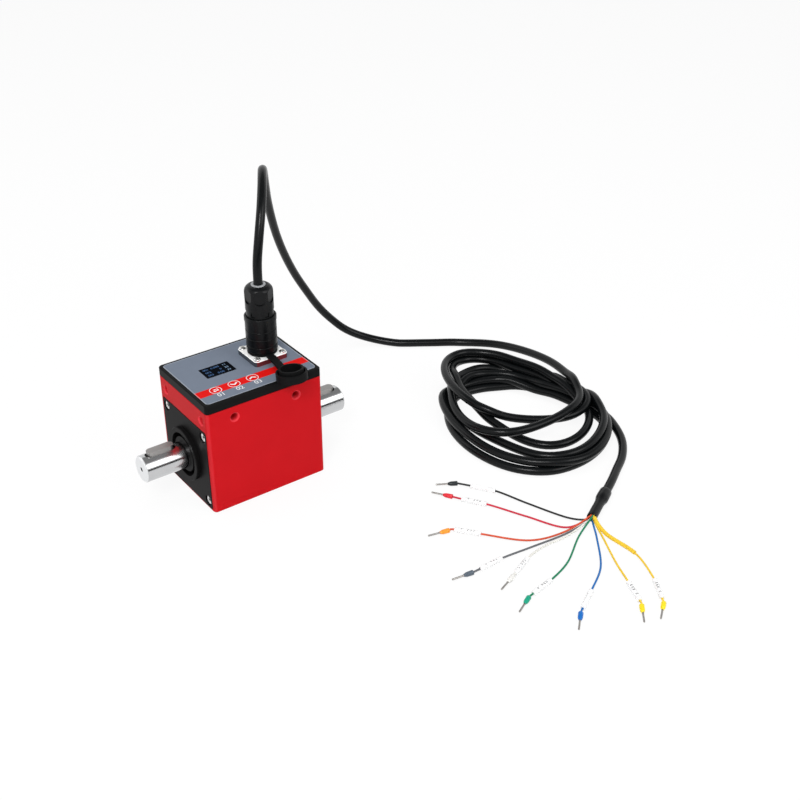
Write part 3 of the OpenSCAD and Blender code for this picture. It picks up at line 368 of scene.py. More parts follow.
# %% Heat-shrink sleeve
SLEEVE_PROFILE = [
    (-9.4, 3.05), (-9.2, 3.7), (-8.6, 4.0), (-6.0, 4.12), (-2.0, 4.2), (0.0, 4.15), (1.6, 3.85), (3.2, 3.45),
    (5.0, 3.28), (9.0, 3.22), (14.0, 3.3), (18.0, 3.24), (21.2, 3.3), (22.0, 3.2), (22.0, 2.9), (19.0, 2.8)]
sleeve = turned("heat_shrink_sleeve", SLEEVE_PROFILE, 32, 50)
lay_along(sleeve, TAIL_END, TAIL_END + 10 * TAIL_WAY)
ride_on_stator(sleeve, "shrink_black", "heat_shrink")
print("made", sleeve.name, "with", len(sleeve.data.polygons), "faces")

# %% [markdown]
# ## Markers and ferrules
# Each wire carries a white marker tube and ends in a crimped ferrule: a plastic collar that flares
# towards the wire, and a thin tinned pin with the marks of the crimping tool. One of each is modelled and
# then copied.

# %% Markers, collars and pins
MARKER_PROFILE = [
    (0, 0.9), (0, 1.45), (0.25, 1.58), (1.2, 1.6), (8.5, 1.57), (15.8, 1.6), (16.75, 1.58), (17, 1.45),
    (17, 0.9)]
MARKER_HALF = 8.5
COLLAR_PROFILE = [
    (0.8, 0.75), (0, 1.2), (0, 1.5), (0.3, 1.6), (4.4, 1.5), (5.2, 1.28), (6.2, 0.9), (6.5, 0.75)]
PIN_PROFILE = [
    (-0.4, 0.62), (1.0, 0.66), (1.6, 0.52), (2.2, 0.66), (2.8, 0.52), (3.4, 0.66), (4.0, 0.52), (4.6, 0.66),
    (5.2, 0.52), (5.8, 0.66), (6.4, 0.54), (7.4, 0.62), (8.0, 0.5)]
PIN_START = 6.4
marker_model = turned("marker_model", MARKER_PROFILE, 24, 40)
collar_model = turned("collar_model", COLLAR_PROFILE, 24, 40)
pin_model = turned("pin_model", PIN_PROFILE, 16, 60)

fittings = {}
for colour, route in WIRE_ROUTES.items():
    marker_start, marker_end, ferrule_start, tip = [Vector((x, y, LIE_Z)) for x, y in route[2:]]
    along = (marker_end - marker_start).normalized()
    middle = (marker_start + marker_end) / 2
    marker = lay_along(copy_of(marker_model, "marker_" + colour), middle - along * MARKER_HALF, marker_end)
    point = (tip - ferrule_start).normalized()
    collar = lay_along(copy_of(collar_model, "ferrule_collar_" + colour), ferrule_start, tip)
    pin = lay_along(copy_of(pin_model, "ferrule_pin_" + colour), ferrule_start + point * PIN_START, tip)
    ride_on_stator(marker, "marker_white")
    ride_on_stator(collar, "ferrule_plastic")
    ride_on_stator(pin, "tinned_copper")
    fittings[colour] = [marker, collar, pin]
for model in (marker_model, collar_model, pin_model):
    bpy.data.objects.remove(model)
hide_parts("wire_markers")
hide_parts("ferrule_collars")
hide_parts("ferrule_pins")
print("fittings on", len(fittings), "wires")

# %% [markdown]
# ## The sleeve on the shield wire
# The shield of the cable leaves the heat-shrink in a thicker yellow sleeve. It is a short cord of its own
# over the first part of the wire.

# %% Shield sleeve
SHIELD_SLEEVE_D = 2.6
SHIELD_START = 1.5
shield_route = WIRE_ROUTES["shield"]
shield_line = wire_line(len(WIRE_ROUTES) - 1, shield_route)
near_mouth = nearest(shield_line, MOUTH + SHIELD_START * TAIL_WAY)
sleeve_stop = nearest(shield_line, (*shield_route[1], LOW_Z))
shield_sleeve = cord_curve("shield_sleeve_tube", shield_line[near_mouth:sleeve_stop], SHIELD_SLEEVE_D)
ride_on_stator(shield_sleeve, "wire_yellow", "shield_sleeve")
print("shield sleeve points:", sleeve_stop - near_mouth)

# %% [markdown]
# ## Ink on the label
# Three keys are printed on the film. Each is a white ring with a sign in it and a number below. Ink is
# only a few hundredths of a millimetre thick. A material could draw it with masks, but such small sharp
# shapes are easier to follow as thin pieces of ink that lie on the film. A ring is a filled circle that
# is inset and loses its middle.

# %% Rings round the keys
INK_T = 0.03
LABEL_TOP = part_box("label_film")[1][2] / MM
RING_R = 4.0
RING_LINE = 0.4


def middle_of(node):
    low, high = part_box(node)
    return [(a + b) / 2 / MM for a, b in zip(low, high)]


KEY_PLACES = [middle_of("key_plunger_" + str(i))[:2] for i in (1, 2, 3)]


def lay_ink(piece, place):
    """Gives a flat shape the thickness of ink and puts it at its place, in millimetres."""
    select_only(piece)
    bpy.ops.object.mode_set(mode="EDIT")
    bpy.ops.mesh.select_all(action="SELECT")
    bpy.ops.mesh.extrude_region_move(TRANSFORM_OT_translate={"value": (0, 0, INK_T * MM)})
    bpy.ops.mesh.select_all(action="SELECT")
    bpy.ops.mesh.normals_make_consistent(inside=False)
    bpy.ops.object.mode_set(mode="OBJECT")
    piece.location = Vector(place) * MM
    bpy.ops.object.transform_apply(location=True, rotation=True, scale=True)
    return ride_on_stator(piece, "label_film")


def ink_ring(name, place):
    bpy.ops.object.select_all(action="DESELECT")
    bpy.ops.mesh.primitive_circle_add(vertices=72, radius=RING_R * MM, fill_type="NGON", location=(0, 0, 0))
    ring = bpy.context.object
    ring.name = name
    bpy.ops.object.mode_set(mode="EDIT")
    bpy.ops.mesh.select_all(action="SELECT")
    bpy.ops.mesh.inset(thickness=RING_LINE * MM)
    bpy.ops.mesh.delete(type="FACE")
    bpy.ops.object.mode_set(mode="OBJECT")
    return lay_ink(ring, (*place, LABEL_TOP))


white_ink = [ink_ring("key_ring_" + str(i + 1), place) for i, place in enumerate(KEY_PLACES)]
print("key rings at", [[round(v, 1) for v in place] for place in KEY_PLACES])

# %% [markdown]
# ## The signs in the rings
# The second and the third key step down and up, so their signs are chevrons: a flat bar whose middle is
# pulled down or up. The first key confirms. Its sign is a bent arrow, drawn out of one small square by
# extruding its edges one after the other, and by widening the last edge into the arrow's head.

# %% Signs in the rings
CHEVRON_L = 4.6
CHEVRON_W = 1.3
CHEVRON_RISE = 1.6
ARROW_LINE = 0.6
ARROW_HEAD = 1.3


def pick(piece, wanted):
    """Selects the vertices whose place in millimetres the test wants."""
    bpy.ops.object.mode_set(mode="EDIT")
    bpy.ops.mesh.select_mode(type="VERT")
    bpy.ops.mesh.select_all(action="DESELECT")
    bpy.ops.object.mode_set(mode="OBJECT")
    for vertex in piece.data.vertices:
        vertex.select = bool(wanted(vertex.co / MM))
    bpy.ops.object.mode_set(mode="EDIT")


def flat_square(name, width, height):
    bpy.ops.object.select_all(action="DESELECT")
    bpy.ops.mesh.primitive_plane_add(size=1, location=(0, 0, 0))
    square = bpy.context.object
    square.name = name
    square.scale = (width * MM, height * MM, 1)
    bpy.ops.object.transform_apply(location=True, rotation=True, scale=True)
    return square


def ink_chevron(name, place, rise):
    chevron = flat_square(name, CHEVRON_L, CHEVRON_W)
    bpy.ops.object.mode_set(mode="EDIT")
    bpy.ops.mesh.subdivide(number_cuts=1)
    pick(chevron, lambda at: abs(at.x) < 0.01)
    bpy.ops.transform.translate(value=(0, rise * MM, 0))
    bpy.ops.object.mode_set(mode="OBJECT")
    return lay_ink(chevron, (place[0], place[1] - rise / 2, LABEL_TOP))


def pull(piece, wanted, move):
    """Extrudes the picked edge by a move in millimetres."""
    pick(piece, wanted)
    bpy.ops.mesh.extrude_region_move(TRANSFORM_OT_translate={"value": tuple(v * MM for v in move)})


def ink_arrow(name, place):
    arrow = flat_square(name, ARROW_LINE, ARROW_LINE)
    pull(arrow, lambda at: at.y > 0.2, (0, 1.2, 0))
    pull(arrow, lambda at: at.y > 1.4, (0, ARROW_LINE, 0))
    pull(arrow, lambda at: at.x < -0.2 and at.y > 1.4, (-2.6, 0, 0))
    pull(arrow, lambda at: at.x < -0.2 and at.y < 0.4, (-2.0, 0, 0))
    bpy.ops.mesh.extrude_region_move(TRANSFORM_OT_translate={"value": (0, 0, 0)})
    bpy.ops.transform.resize(value=(1, 3.4, 1), center_override=(-2.3 * MM, 0, 0))
    bpy.ops.mesh.extrude_region_move(TRANSFORM_OT_translate={"value": (-ARROW_HEAD * MM, 0, 0)})
    bpy.ops.transform.resize(value=(1, 0.05, 1), center_override=(-3.6 * MM, 0, 0))
    bpy.ops.mesh.select_all(action="SELECT")
    bpy.ops.mesh.remove_doubles(threshold=0.001 * MM)
    bpy.ops.object.mode_set(mode="OBJECT")
    return lay_ink(arrow, (place[0] + 1.6, place[1] - 0.9, LABEL_TOP))


white_ink.append(ink_arrow("key_sign_1", KEY_PLACES[0]))
white_ink.append(ink_chevron("key_sign_2", KEY_PLACES[1], -CHEVRON_RISE))
white_ink.append(ink_chevron("key_sign_3", KEY_PLACES[2], CHEVRON_RISE))
print("ink pieces:", len(white_ink))

# %% [markdown]
# ## Numbers
# The keys, the display and the wire markers carry numbers. A text object draws them. It is made a mesh
# before its place is applied, so that the finished piece sits at the origin like all the others.

# %% Numbers on the keys and the display
KEY_NUMBER_SIZE = 5.4
KEY_NUMBER_X = 0.6
KEY_NUMBER_Y = -6.6


def flat_text(name, words, size, place, side="CENTER"):
    """Flat numbers as a thin mesh. The place is in millimetres."""
    bpy.ops.object.select_all(action="DESELECT")
    bpy.ops.object.text_add(location=(0, 0, 0))
    piece = bpy.context.object
    piece.name = name
    piece.data.body = words
    piece.data.align_x = side
    piece.data.align_y = "CENTER"
    piece.data.size = size * MM
    piece.data.extrude = INK_T / 2 * MM
    piece.data.resolution_u = 4
    bpy.ops.object.convert(target="MESH")
    piece = bpy.context.object
    piece.location = Vector(place) * MM
    bpy.ops.object.transform_apply(location=True, rotation=True, scale=True)
    return piece


for i, (x, y) in enumerate(KEY_PLACES):
    digit = str(i + 1)
    place = (x + KEY_NUMBER_X, y + KEY_NUMBER_Y, LABEL_TOP + INK_T / 2)
    number = flat_text("key_number_" + digit, "0" + digit, KEY_NUMBER_SIZE, place)
    white_ink.append(ride_on_stator(number, "label_film"))

SCREEN_X, SCREEN_Y = middle_of("display_window")[:2]
SCREEN_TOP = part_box("display_window")[1][2] / MM
SCREEN_ROWS = [("001", "0.000", "11"), ("002", "0", "22"), ("003", "0.00", "33")]
DIGIT_SIZE = 2.7
ROW_STEP = 3.7
LEFT_X = SCREEN_X - 8.6
MIDDLE_X = SCREEN_X + 3.0
RIGHT_X = SCREEN_X + 6.6
blue_digits = []
pale_digits = []
for i, (left, middle, right) in enumerate(SCREEN_ROWS):
    y = SCREEN_Y + ROW_STEP * (1 - i)
    z = SCREEN_TOP + INK_T / 2
    row = "display_row_" + str(i + 1)
    blue_digits.append(flat_text(row + "_left", left, DIGIT_SIZE, (LEFT_X, y, z), "LEFT"))
    blue_digits.append(flat_text(row + "_middle", middle, DIGIT_SIZE, (MIDDLE_X, y, z), "RIGHT"))
    pale_digits.append(flat_text(row + "_right", right, DIGIT_SIZE, (RIGHT_X, y, z)))
for digits in blue_digits + pale_digits:
    ride_on_stator(digits, "display_black")
print("numbers:", 3 + len(blue_digits) + len(pale_digits))

# %% [markdown]
# ## Numbers on the markers
# The numbers on the white tubes follow their round surface. A flat text is held over the tube and a
# Shrinkwrap modifier lets it down on it, as a transfer is rubbed on.

# %% Numbers on the wire markers
MARKER_NUMBER_SIZE = 2.5
HOLD_OVER = 2.2
INK_LIFT = 0.02


def wrapped_number(name, words, marker, along, middle):
    """Numbers that lie on the top of a marker, read along its wire."""
    piece = flat_text(name, words, MARKER_NUMBER_SIZE, (0, 0, 0))
    turn = Matrix.Rotation(math.atan2(along.y, along.x), 4, "Z")
    piece.matrix_world = Matrix.Translation((middle + Vector((0, 0, HOLD_OVER))) * MM) @ turn
    select_only(piece)
    bpy.ops.object.transform_apply(location=True, rotation=True, scale=True)
    wrap = piece.modifiers.new("wrap", "SHRINKWRAP")
    wrap.target = marker
    wrap.wrap_method = "PROJECT"
    wrap.use_project_z = True
    wrap.use_negative_direction = True
    wrap.use_positive_direction = False
    wrap.offset = INK_LIFT * MM
    bpy.ops.object.modifier_apply(modifier="wrap")
    return ride_on_stator(piece, "marker_white")


marker_ink = []
for i, (colour, route) in enumerate(WIRE_ROUTES.items()):
    start, end = [Vector((x, y, LIE_Z)) for x, y in route[2:4]]
    along = (start - end) if start.x > end.x else (end - start)
    number = str(i + 1)
    words = number + "    " + number + " " + number + " " + number
    ink = wrapped_number("marker_number_" + colour, words, fittings[colour][0], along, (start + end) / 2)
    marker_ink.append(ink)
    fittings[colour].append(ink)
print("marker numbers:", len(marker_ink))

# %% [markdown]
# Each wire's pieces are gathered: its marker, collar, pin and marker number, and on the shield wire also
# its sleeve.

for colour, wire in wires.items():
    extra = [shield_sleeve] if colour == "shield" else []
    fittings[colour] + extra

# %% [markdown]
# ## Shader helpers
# The floor, the sky and every finish are small networks of nodes. To keep them readable, one small class
# wraps a socket and lets Python's own operators add the Math nodes, and one method makes every other kind
# of node.

# %% Socket class
SOCKET_NAMES = {
    "colour": "Base Color", "roughness": "Roughness", "metallic": "Metallic", "normal": "Normal",
    "specular": "Specular IOR Level", "emission": "Emission Color", "emission_strength": "Emission Strength"}


class Sock:
    """A node socket that can stand in a Python expression."""

    def __init__(self, tree, socket):
        self.tree = tree
        self.socket = socket

    def node(self, kind, settings=None, inputs=None, output=0):
        made = self.tree.nodes.new(kind)
        for key, value in (settings or {}).items():
            if key == "stops":
                set_stops(made.color_ramp.elements, value)
            else:
                setattr(made, key, value)
        for key, value in (inputs or {}).items():
            plug_in(self.tree, value, made.inputs[key])
        return Sock(self.tree, made.outputs[output])

    def math(self, operation, *values):
        return self.node("ShaderNodeMath", {"operation": operation}, dict(enumerate(values)))

    def __add__(self, other):
        return self.math("ADD", self, other)

    __radd__ = __add__

    def __sub__(self, other):
        return self.math("SUBTRACT", self, other)

    def __rsub__(self, other):
        return self.math("SUBTRACT", other, self)

    def __mul__(self, other):
        return self.math("MULTIPLY", self, other)

    __rmul__ = __mul__

    def __abs__(self):
        return self.math("ABSOLUTE", self)


def set_stops(elements, stops):
    """Gives a colour ramp its stops, each a place and a colour."""
    while len(elements) < len(stops):
        elements.new(1.0)
    for element, (place, colour) in zip(elements, stops):
        element.position = place
        element.color = (*colour, 1)


def plug_in(tree, value, socket):
    """Links a Sock, or sets a plain value; a colour of three numbers gets its alpha."""
    if isinstance(value, Sock):
        tree.links.new(value.socket, socket)
    elif isinstance(value, tuple) and len(value) == 3 and socket.type == "RGBA":
        socket.default_value = (*value, 1)
    else:
        socket.default_value = value


def new_finish(name):
    made = bpy.data.materials.new(name)
    made.use_nodes = True
    tree = made.node_tree
    return made, Sock(tree, tree.nodes.new("ShaderNodeTexCoord").outputs["Object"])


def part_of(place, axis):
    return place.node("ShaderNodeSeparateXYZ", {}, {0: place}, "XYZ".index(axis))


print("socket class is ready")

# %% [markdown]
# ## Studio
# The photograph has a plain white ground and soft light from above and from the left. A large pale floor,
# a big soft lamp, weaker ones on the other sides and a grey sky give the same. The floor and the sky show
# themselves white to the camera, to mirrors and through glass, and the floor still keeps part of the
# shadow. Photographers give polished metal its form with flags, which are dark cards beside the lamps. A
# black one in front draws the thin dark line along the ground shaft, and a grey one overhead darkens its
# top. Here only mirrors see them. The lamp overhead lights the label and is hidden from mirrors, or it
# would lie as a bright band on the shaft.

# %% Floor, sky, flags and lamps
FLOOR_R = 4
FLOOR_Z = -0.0002
FLOOR_SHARE = 0.9
WHITE = (1.0, 1.0, 1.0)
SKY_STOPS = [(0.0, (0.2, 0.2, 0.205)), (0.5, (0.28, 0.28, 0.285)), (1.0, (0.5, 0.5, 0.51))]


def seen_ray(place):
    """1 for a ray from the camera, from a mirror or through glass."""
    camera = place.node("ShaderNodeLightPath", output="Is Camera Ray")
    glossy = place.node("ShaderNodeLightPath", output="Is Glossy Ray")
    through = place.node("ShaderNodeLightPath", output="Is Transmission Ray")
    return camera.math("MAXIMUM", camera.math("MAXIMUM", camera, glossy), through)


def set_surface(made, surface):
    """Puts another shader in the place of the Principled one."""
    tree = made.node_tree
    tree.nodes.remove(tree.nodes["Principled BSDF"])
    plug_in(tree, surface, tree.nodes["Material Output"].inputs["Surface"])
    return made


def floor_finish():
    made, place = new_finish("pale_floor")
    matt = place.node("ShaderNodeBsdfDiffuse", {}, {"Color": (0.96, 0.96, 0.96)})
    glow = place.node("ShaderNodeEmission", {}, {"Color": WHITE, "Strength": 1.0})
    share = seen_ray(place) * FLOOR_SHARE
    return set_surface(made, place.node("ShaderNodeMixShader", {}, {0: share, 1: matt, 2: glow}))


def add_floor():
    bpy.ops.object.select_all(action="DESELECT")
    bpy.ops.mesh.primitive_circle_add(
        vertices=96, radius=FLOOR_R, fill_type="NGON", location=(0, 0, FLOOR_Z))
    floor = bpy.context.object
    floor.name = "studio_floor"
    floor.data.materials.append(floor_finish())
    return floor


def add_lamp(name, place, aim, size, power):
    way = Vector(aim) - Vector(place)
    bpy.ops.object.light_add(type="AREA", location=place, rotation=way.to_track_quat("-Z", "Y").to_euler())
    lamp = bpy.context.object
    lamp.name = name
    lamp.data.shape = "DISK"
    lamp.data.size = size
    lamp.data.energy = power
    return lamp


def add_flag(name, place, turn, size, grey):
    """A card of one grey that only mirrors see."""
    made, inside = new_finish(name)
    set_surface(made, inside.node("ShaderNodeEmission", {}, {"Color": (grey, grey, grey), "Strength": 1.0}))
    bpy.ops.object.select_all(action="DESELECT")
    bpy.ops.mesh.primitive_plane_add(size=1, location=place, rotation=(math.radians(turn), 0, 0))
    flag = bpy.context.object
    flag.name = name
    flag.scale = (*size, 1)
    flag.visible_camera = False
    flag.visible_diffuse = False
    flag.visible_transmission = False
    flag.visible_shadow = False
    flag.data.materials.append(made)
    return flag


def add_sky():
    world = bpy.data.worlds.new("studio_sky")
    world.use_nodes = True
    bpy.context.scene.world = world
    tree = world.node_tree
    way = Sock(tree, tree.nodes.new("ShaderNodeTexCoord").outputs["Generated"])
    light = way.node("ShaderNodeValToRGB", {"stops": SKY_STOPS}, {"Fac": part_of(way, "Z")})
    shown = way.node("ShaderNodeMix", {"data_type": "RGBA"}, {0: seen_ray(way), 6: light, 7: WHITE}, 2)
    plug_in(tree, shown, tree.nodes["Background"].inputs["Color"])
    return world


add_floor()
add_sky()
add_flag("low_flag", (0.5, -1.2, 0.16), 90, (4.0, 0.34), 0.01)
add_flag("high_flag", (0.5, 0.5, 2.4), 0, (5.0, 3.4), 0.3)
add_lamp("key_lamp", (-0.75, -0.75, 1.15), (0.06, -0.03, 0.03), 0.5, 12.0)
add_lamp("fill_lamp", (0.60, -1.10, 0.90), (0.08, -0.05, 0.03), 0.9, 5.8)
add_lamp("top_lamp", (0.12, 0.10, 1.6), (0.08, 0, 0.05), 1.5, 8.0).visible_glossy = False
add_lamp("rim_lamp", (-0.65, 0.85, 0.8), (0.06, 0, 0.05), 0.8, 1.5)
bpy.context.scene.view_settings.view_transform = "Standard"
print("studio is ready")

# %% [markdown]
# ## Finishes
# Every finish is a network on the Principled shader. Noise on Object coordinates varies the colour and
# the roughness a little, and drives a fine bump, so that no surface is one flat colour. These helpers are
# the words that the finishes are written in.

# %% Finish helpers
MASK_SOFT = 0.0001


def shade(made, **values):
    shader = made.node_tree.nodes["Principled BSDF"]
    for name, value in values.items():
        plug_in(made.node_tree, value, shader.inputs[SOCKET_NAMES[name]])
    return made


def noise(place, scale, detail=2.0):
    return place.node("ShaderNodeTexNoise", {}, {"Vector": place, "Scale": scale, "Detail": detail})


def stretched(place, scale):
    return place.node("ShaderNodeMapping", {}, {"Vector": place, "Scale": scale})


def mix(factor, one, other):
    return factor.node("ShaderNodeMix", {"data_type": "RGBA"}, {0: factor, 6: one, 7: other}, 2)


def bump(height, strength, distance):
    return height.node("ShaderNodeBump", {}, {"Strength": strength, "Distance": distance, "Height": height})


def above(value, limit, soft=MASK_SOFT):
    """1 where the value is over the limit, with a soft edge."""
    return value.node(
        "ShaderNodeMapRange", {"interpolation_type": "SMOOTHSTEP"},
        {"Value": value, "From Min": limit - soft, "From Max": limit + soft})


def between(value, low, high, soft=MASK_SOFT):
    return above(value, low, soft) - above(value, high, soft)


def paler(colour, factor):
    return tuple(min(1.0, c * factor) for c in colour)


print("finish helpers are ready")

# %% [markdown]
# ## Families of finishes
# Most pieces belong to one of a few families: coated metal, bare metal, moulded plastic and rubber. A
# function for each family takes the colour, the roughness and the size of its grain, then finer values.
# Each entry below lists its values in that order. Dull black and red coats mirror very little of the
# white floor, so their specular level is low.

# %% Finish families


def coated(name, colour, roughness, grain=3500, depth=0.00003, vary=0.12, specular=0.04):
    made, place = new_finish(name)
    cloud = noise(place, 60, 3)
    fine = noise(place, grain, 2)
    return shade(
        made, colour=mix(cloud, paler(colour, 1 - vary), paler(colour, 1 + vary)),
        roughness=roughness - 0.05 + 0.1 * fine, normal=bump(fine, 0.25, depth), specular=specular)


def bare_metal(name, colour, roughness, scale, depth=0.00002, vary=0.12):
    made, place = new_finish(name)
    lines = noise(stretched(place, scale), 1.0, 3)
    cloud = noise(place, 90, 2)
    return shade(
        made, metallic=1.0, colour=mix(cloud, paler(colour, 1 - vary), colour),
        roughness=roughness - 0.06 + 0.12 * lines, normal=bump(lines, 0.2, depth))


def moulded(name, colour, roughness, grain=1800, depth=0.00003, vary=0.12, specular=0.3):
    made, place = new_finish(name)
    cloud = noise(place, 120, 3)
    fine = noise(place, grain, 2)
    return shade(
        made, colour=mix(cloud, paler(colour, 1 - vary), paler(colour, 1 + vary)),
        roughness=roughness - 0.06 + 0.12 * fine, normal=bump(fine, 0.3, depth), specular=specular)


COATS = {
    "black_metal": ((0.0065, 0.0062, 0.0064), 0.45),
    "black_cover": ((0.0065, 0.0068, 0.007), 0.42)}
METALS = {
    "screw_steel": ((0.74, 0.74, 0.73), 0.24, (900, 900, 900)),
    "key_steel": ((0.42, 0.41, 0.40), 0.42, (120, 2600, 900)),
    "bearing_steel": ((0.60, 0.61, 0.62), 0.16, (2400, 70, 70)),
    "disc_metal": ((0.30, 0.31, 0.33), 0.3, (900, 900, 900)),
    "contact_gold": ((0.80, 0.55, 0.20), 0.22, (900, 900, 400)),
    "tinned_copper": ((0.42, 0.40, 0.38), 0.34, (900, 900, 900))}
MOULDINGS = {
    "ferrite": ((0.30, 0.135, 0.055), 0.5, 2600),
    "gauge_film": ((0.56, 0.35, 0.10), 0.35, 3000),
    "board_green": ((0.012, 0.115, 0.045), 0.38, 1500),
    "dark_plastic": ((0.018, 0.019, 0.021), 0.5),
    "black_plastic": ((0.0035, 0.0040, 0.0045), 0.30, 2400, 0.00004, 0.12, 0.18),
    "black_rubber": ((0.0050, 0.0052, 0.0055), 0.55, 2000, 0.00005, 0.15, 0.08),
    "grey_rubber": ((0.36, 0.37, 0.38), 0.5, 1600),
    "cable_black": ((0.0030, 0.0037, 0.0042), 0.26, 40, 0.00001, 0.12, 0.17),
    "shrink_black": ((0.0042, 0.0048, 0.0053), 0.30, 700, 0.00007, 0.12, 0.18),
    "marker_white": ((0.88, 0.88, 0.88), 0.45, 300, 0.00001, 0.04),
    "white_ink": ((0.80, 0.80, 0.80), 0.45, 2600, 0.00001, 0.03),
    "black_ink": ((0.012, 0.012, 0.013), 0.5, 2600, 0.00001, 0.1),
    "key_white": ((0.70, 0.66, 0.58), 0.45)}
WIRE_COLOURS = {
    "black": (0.016, 0.016, 0.017), "red": (0.56, 0.022, 0.05), "orange": (0.62, 0.075, 0.025),
    "grey": (0.115, 0.12, 0.13), "white": (0.74, 0.73, 0.68), "green": (0.008, 0.20, 0.095),
    "blue": (0.014, 0.14, 0.42), "yellow": (0.82, 0.55, 0.035)}
COLLAR_COLOURS = {
    "black": (0.017, 0.022, 0.024), "red": (0.72, 0.03, 0.045), "orange": (0.86, 0.31, 0.03),
    "grey": (0.09, 0.115, 0.145), "white": (0.78, 0.77, 0.74), "green": (0.004, 0.33, 0.20),
    "blue": (0.005, 0.14, 0.50), "yellow": (0.90, 0.70, 0.015)}
for colour, paint in WIRE_COLOURS.items():
    MOULDINGS["wire_" + colour] = (paint, 0.42, 300, 0.000005, 0.06)
for colour, paint in COLLAR_COLOURS.items():
    MOULDINGS["collar_" + colour] = (paint, 0.34, 2600, 0.00002, 0.05)
finishes = {}
for family, members in ((coated, COATS), (bare_metal, METALS), (moulded, MOULDINGS)):
    for name, values in members.items():
        finishes[name] = family(name, *values)
print("finishes:", len(finishes))

# %% [markdown]
# ## The red coat
# The housing is coated in a satin red. A paler red on the upright edges and on the rims of the tapped
# holes is a painted highlight, and in the bores it is painted light over their shade. The sum of the
# distances along X and Y finds the rounded edges.
# The distance from a hole's axis finds the rims: two holes open to the front and two to the left end, all
# at the same height.

# %% Housing
HOLE_Z = 0.066
FRONT_HOLE_X = 0.0225
END_HOLE_Y = 0.0235
HOLE_R = 0.0025
RIM_R = 0.0034
RIM_IN = 0.0010
RIM_HIGHLIGHT = 0.6
EDGE_IN = 0.0018
EDGE_SOFT = 0.0004
EDGE_HIGHLIGHT = 0.25


def rim_mask(along, up, across, hole, face):
    """1 on the chamfers and in the bores of two holes that lie at plus and minus the same place."""
    one = abs(along) - hole
    other = up - HOLE_Z
    from_axis = one.math("SQRT", one * one + other * other)
    rim = between(from_axis, HOLE_R, RIM_R) * above(0 - across, face)
    bore = (1 - above(from_axis, HOLE_R)) * above(0 - across, 0)
    return rim.math("MAXIMUM", rim, bore)


def red_finish():
    made, place = new_finish("red_paint")
    x, y, z = [part_of(place, axis) for axis in "XYZ"]
    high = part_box("housing")[1]
    front = rim_mask(x, z, y, FRONT_HOLE_X, high[1] - RIM_IN)
    end = rim_mask(y, z, x, END_HOLE_Y, high[0] - RIM_IN)
    edge = above(abs(x) + abs(y), high[0] + high[1] - EDGE_IN, EDGE_SOFT)
    # Painted highlight on the upright edges and the hole rims, and painted light in the shade of the bores.
    painted_highlight = (front + end) * RIM_HIGHLIGHT + edge * EDGE_HIGHLIGHT
    cloud = noise(place, 60, 3)
    fine = noise(place, 1400, 2)
    coat = mix(cloud, (0.51, 0.0055, 0.0095), (0.56, 0.0065, 0.0112))
    return shade(
        made, colour=mix(painted_highlight, coat, (0.85, 0.07, 0.09)), roughness=0.40 + 0.1 * fine,
        normal=bump(fine, 0.25, 0.00004), specular=0.05)


finishes["red_paint"] = red_finish()
print("red coat is ready")

# %% [markdown]
# ## The ground shaft
# The shaft is ground between centres, so its fine lines run round it and it mirrors the room almost like
# glass. Its two end faces are only turned. They are rougher, and spread the light evenly. The places
# along the shaft tell the two finishes apart. The centre holes in those faces are painted dark, out to a
# small distance from the shaft's axis, as painted shade in the holes.

# %% Shaft
AXIS_Z = 0.030
FACE_IN = 0.0007
CENTRE_R = 0.0016


def shaft_finish():
    made, place = new_finish("bright_steel")
    along, aside, up = [part_of(place, axis) for axis in "XYZ"]
    up = up - AXIS_Z
    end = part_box("shaft")[1][0]
    faced = above(abs(along), end - FACE_IN)
    from_axis = up.math("SQRT", aside * aside + up * up)
    # Painted shade: the centre hole of each end face is coloured near black.
    centre = 1 - above(from_axis, CENTRE_R)
    lines = noise(stretched(place, (4200, 60, 60)), 1.0, 3)
    cloud = noise(place, 90, 2)
    ground = mix(cloud, (0.52, 0.525, 0.535), (0.60, 0.605, 0.61))
    clean = mix(faced, ground, (0.80, 0.81, 0.82))
    return shade(
        made, metallic=1.0, colour=mix(centre, clean, (0.02, 0.02, 0.02)),
        roughness=0.14 + 0.05 * lines + 0.26 * faced, normal=bump(lines, 0.05, 0.000003))


finishes["bright_steel"] = shaft_finish()
print("shaft is ready")

# %% [markdown]
# ## The cover screws
# The screws of the end covers are zinc plated and a little grainy. Their heads are a bright white
# without metal, a painted reflection of the bright floor, and their sockets are painted black as painted
# shade. A mask on the distance from the sensor's middle finds what lies below the face of a head.

# %% Zinc-plated screws
SOCKET_DEEP = 0.0004


def zinc_finish():
    made, place = new_finish("zinc_painted_light")
    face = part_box("end_cover_screws")[1][0]
    # Painted shade: the sockets below the face of a head are coloured near black.
    painted_shade_socket = 1 - above(abs(part_of(place, "X")), face - SOCKET_DEEP)
    fine = noise(place, 2600, 2)
    # Painted reflection: a bright white without metal stands in for the floor that the heads mirror.
    bright = mix(fine, (0.74, 0.74, 0.73), (0.86, 0.86, 0.85))
    return shade(
        made, colour=mix(painted_shade_socket, bright, (0.01, 0.01, 0.01)), roughness=0.3 + 0.1 * fine,
        normal=bump(fine, 0.2, 0.00002), specular=0.5)


finishes["zinc_painted_light"] = zinc_finish()
print("screws are ready")

# %% [markdown]
# ## The connector's flange
# The square flange is nickel plated. Its top is painted an even bright white without metal, a painted
# highlight, and its sides are smooth metal. Their colours are a painted reflection of what lies beside
# them on the label: dark grey for the dark corner of the cover and, at the front, red for the red stripe.
# Two masks, on the height and on the Y coordinate, part the top, the sides and the front side.

# %% Nickel flange
FLANGE_TOP = 0.0836
SIDE_IN = 0.0004


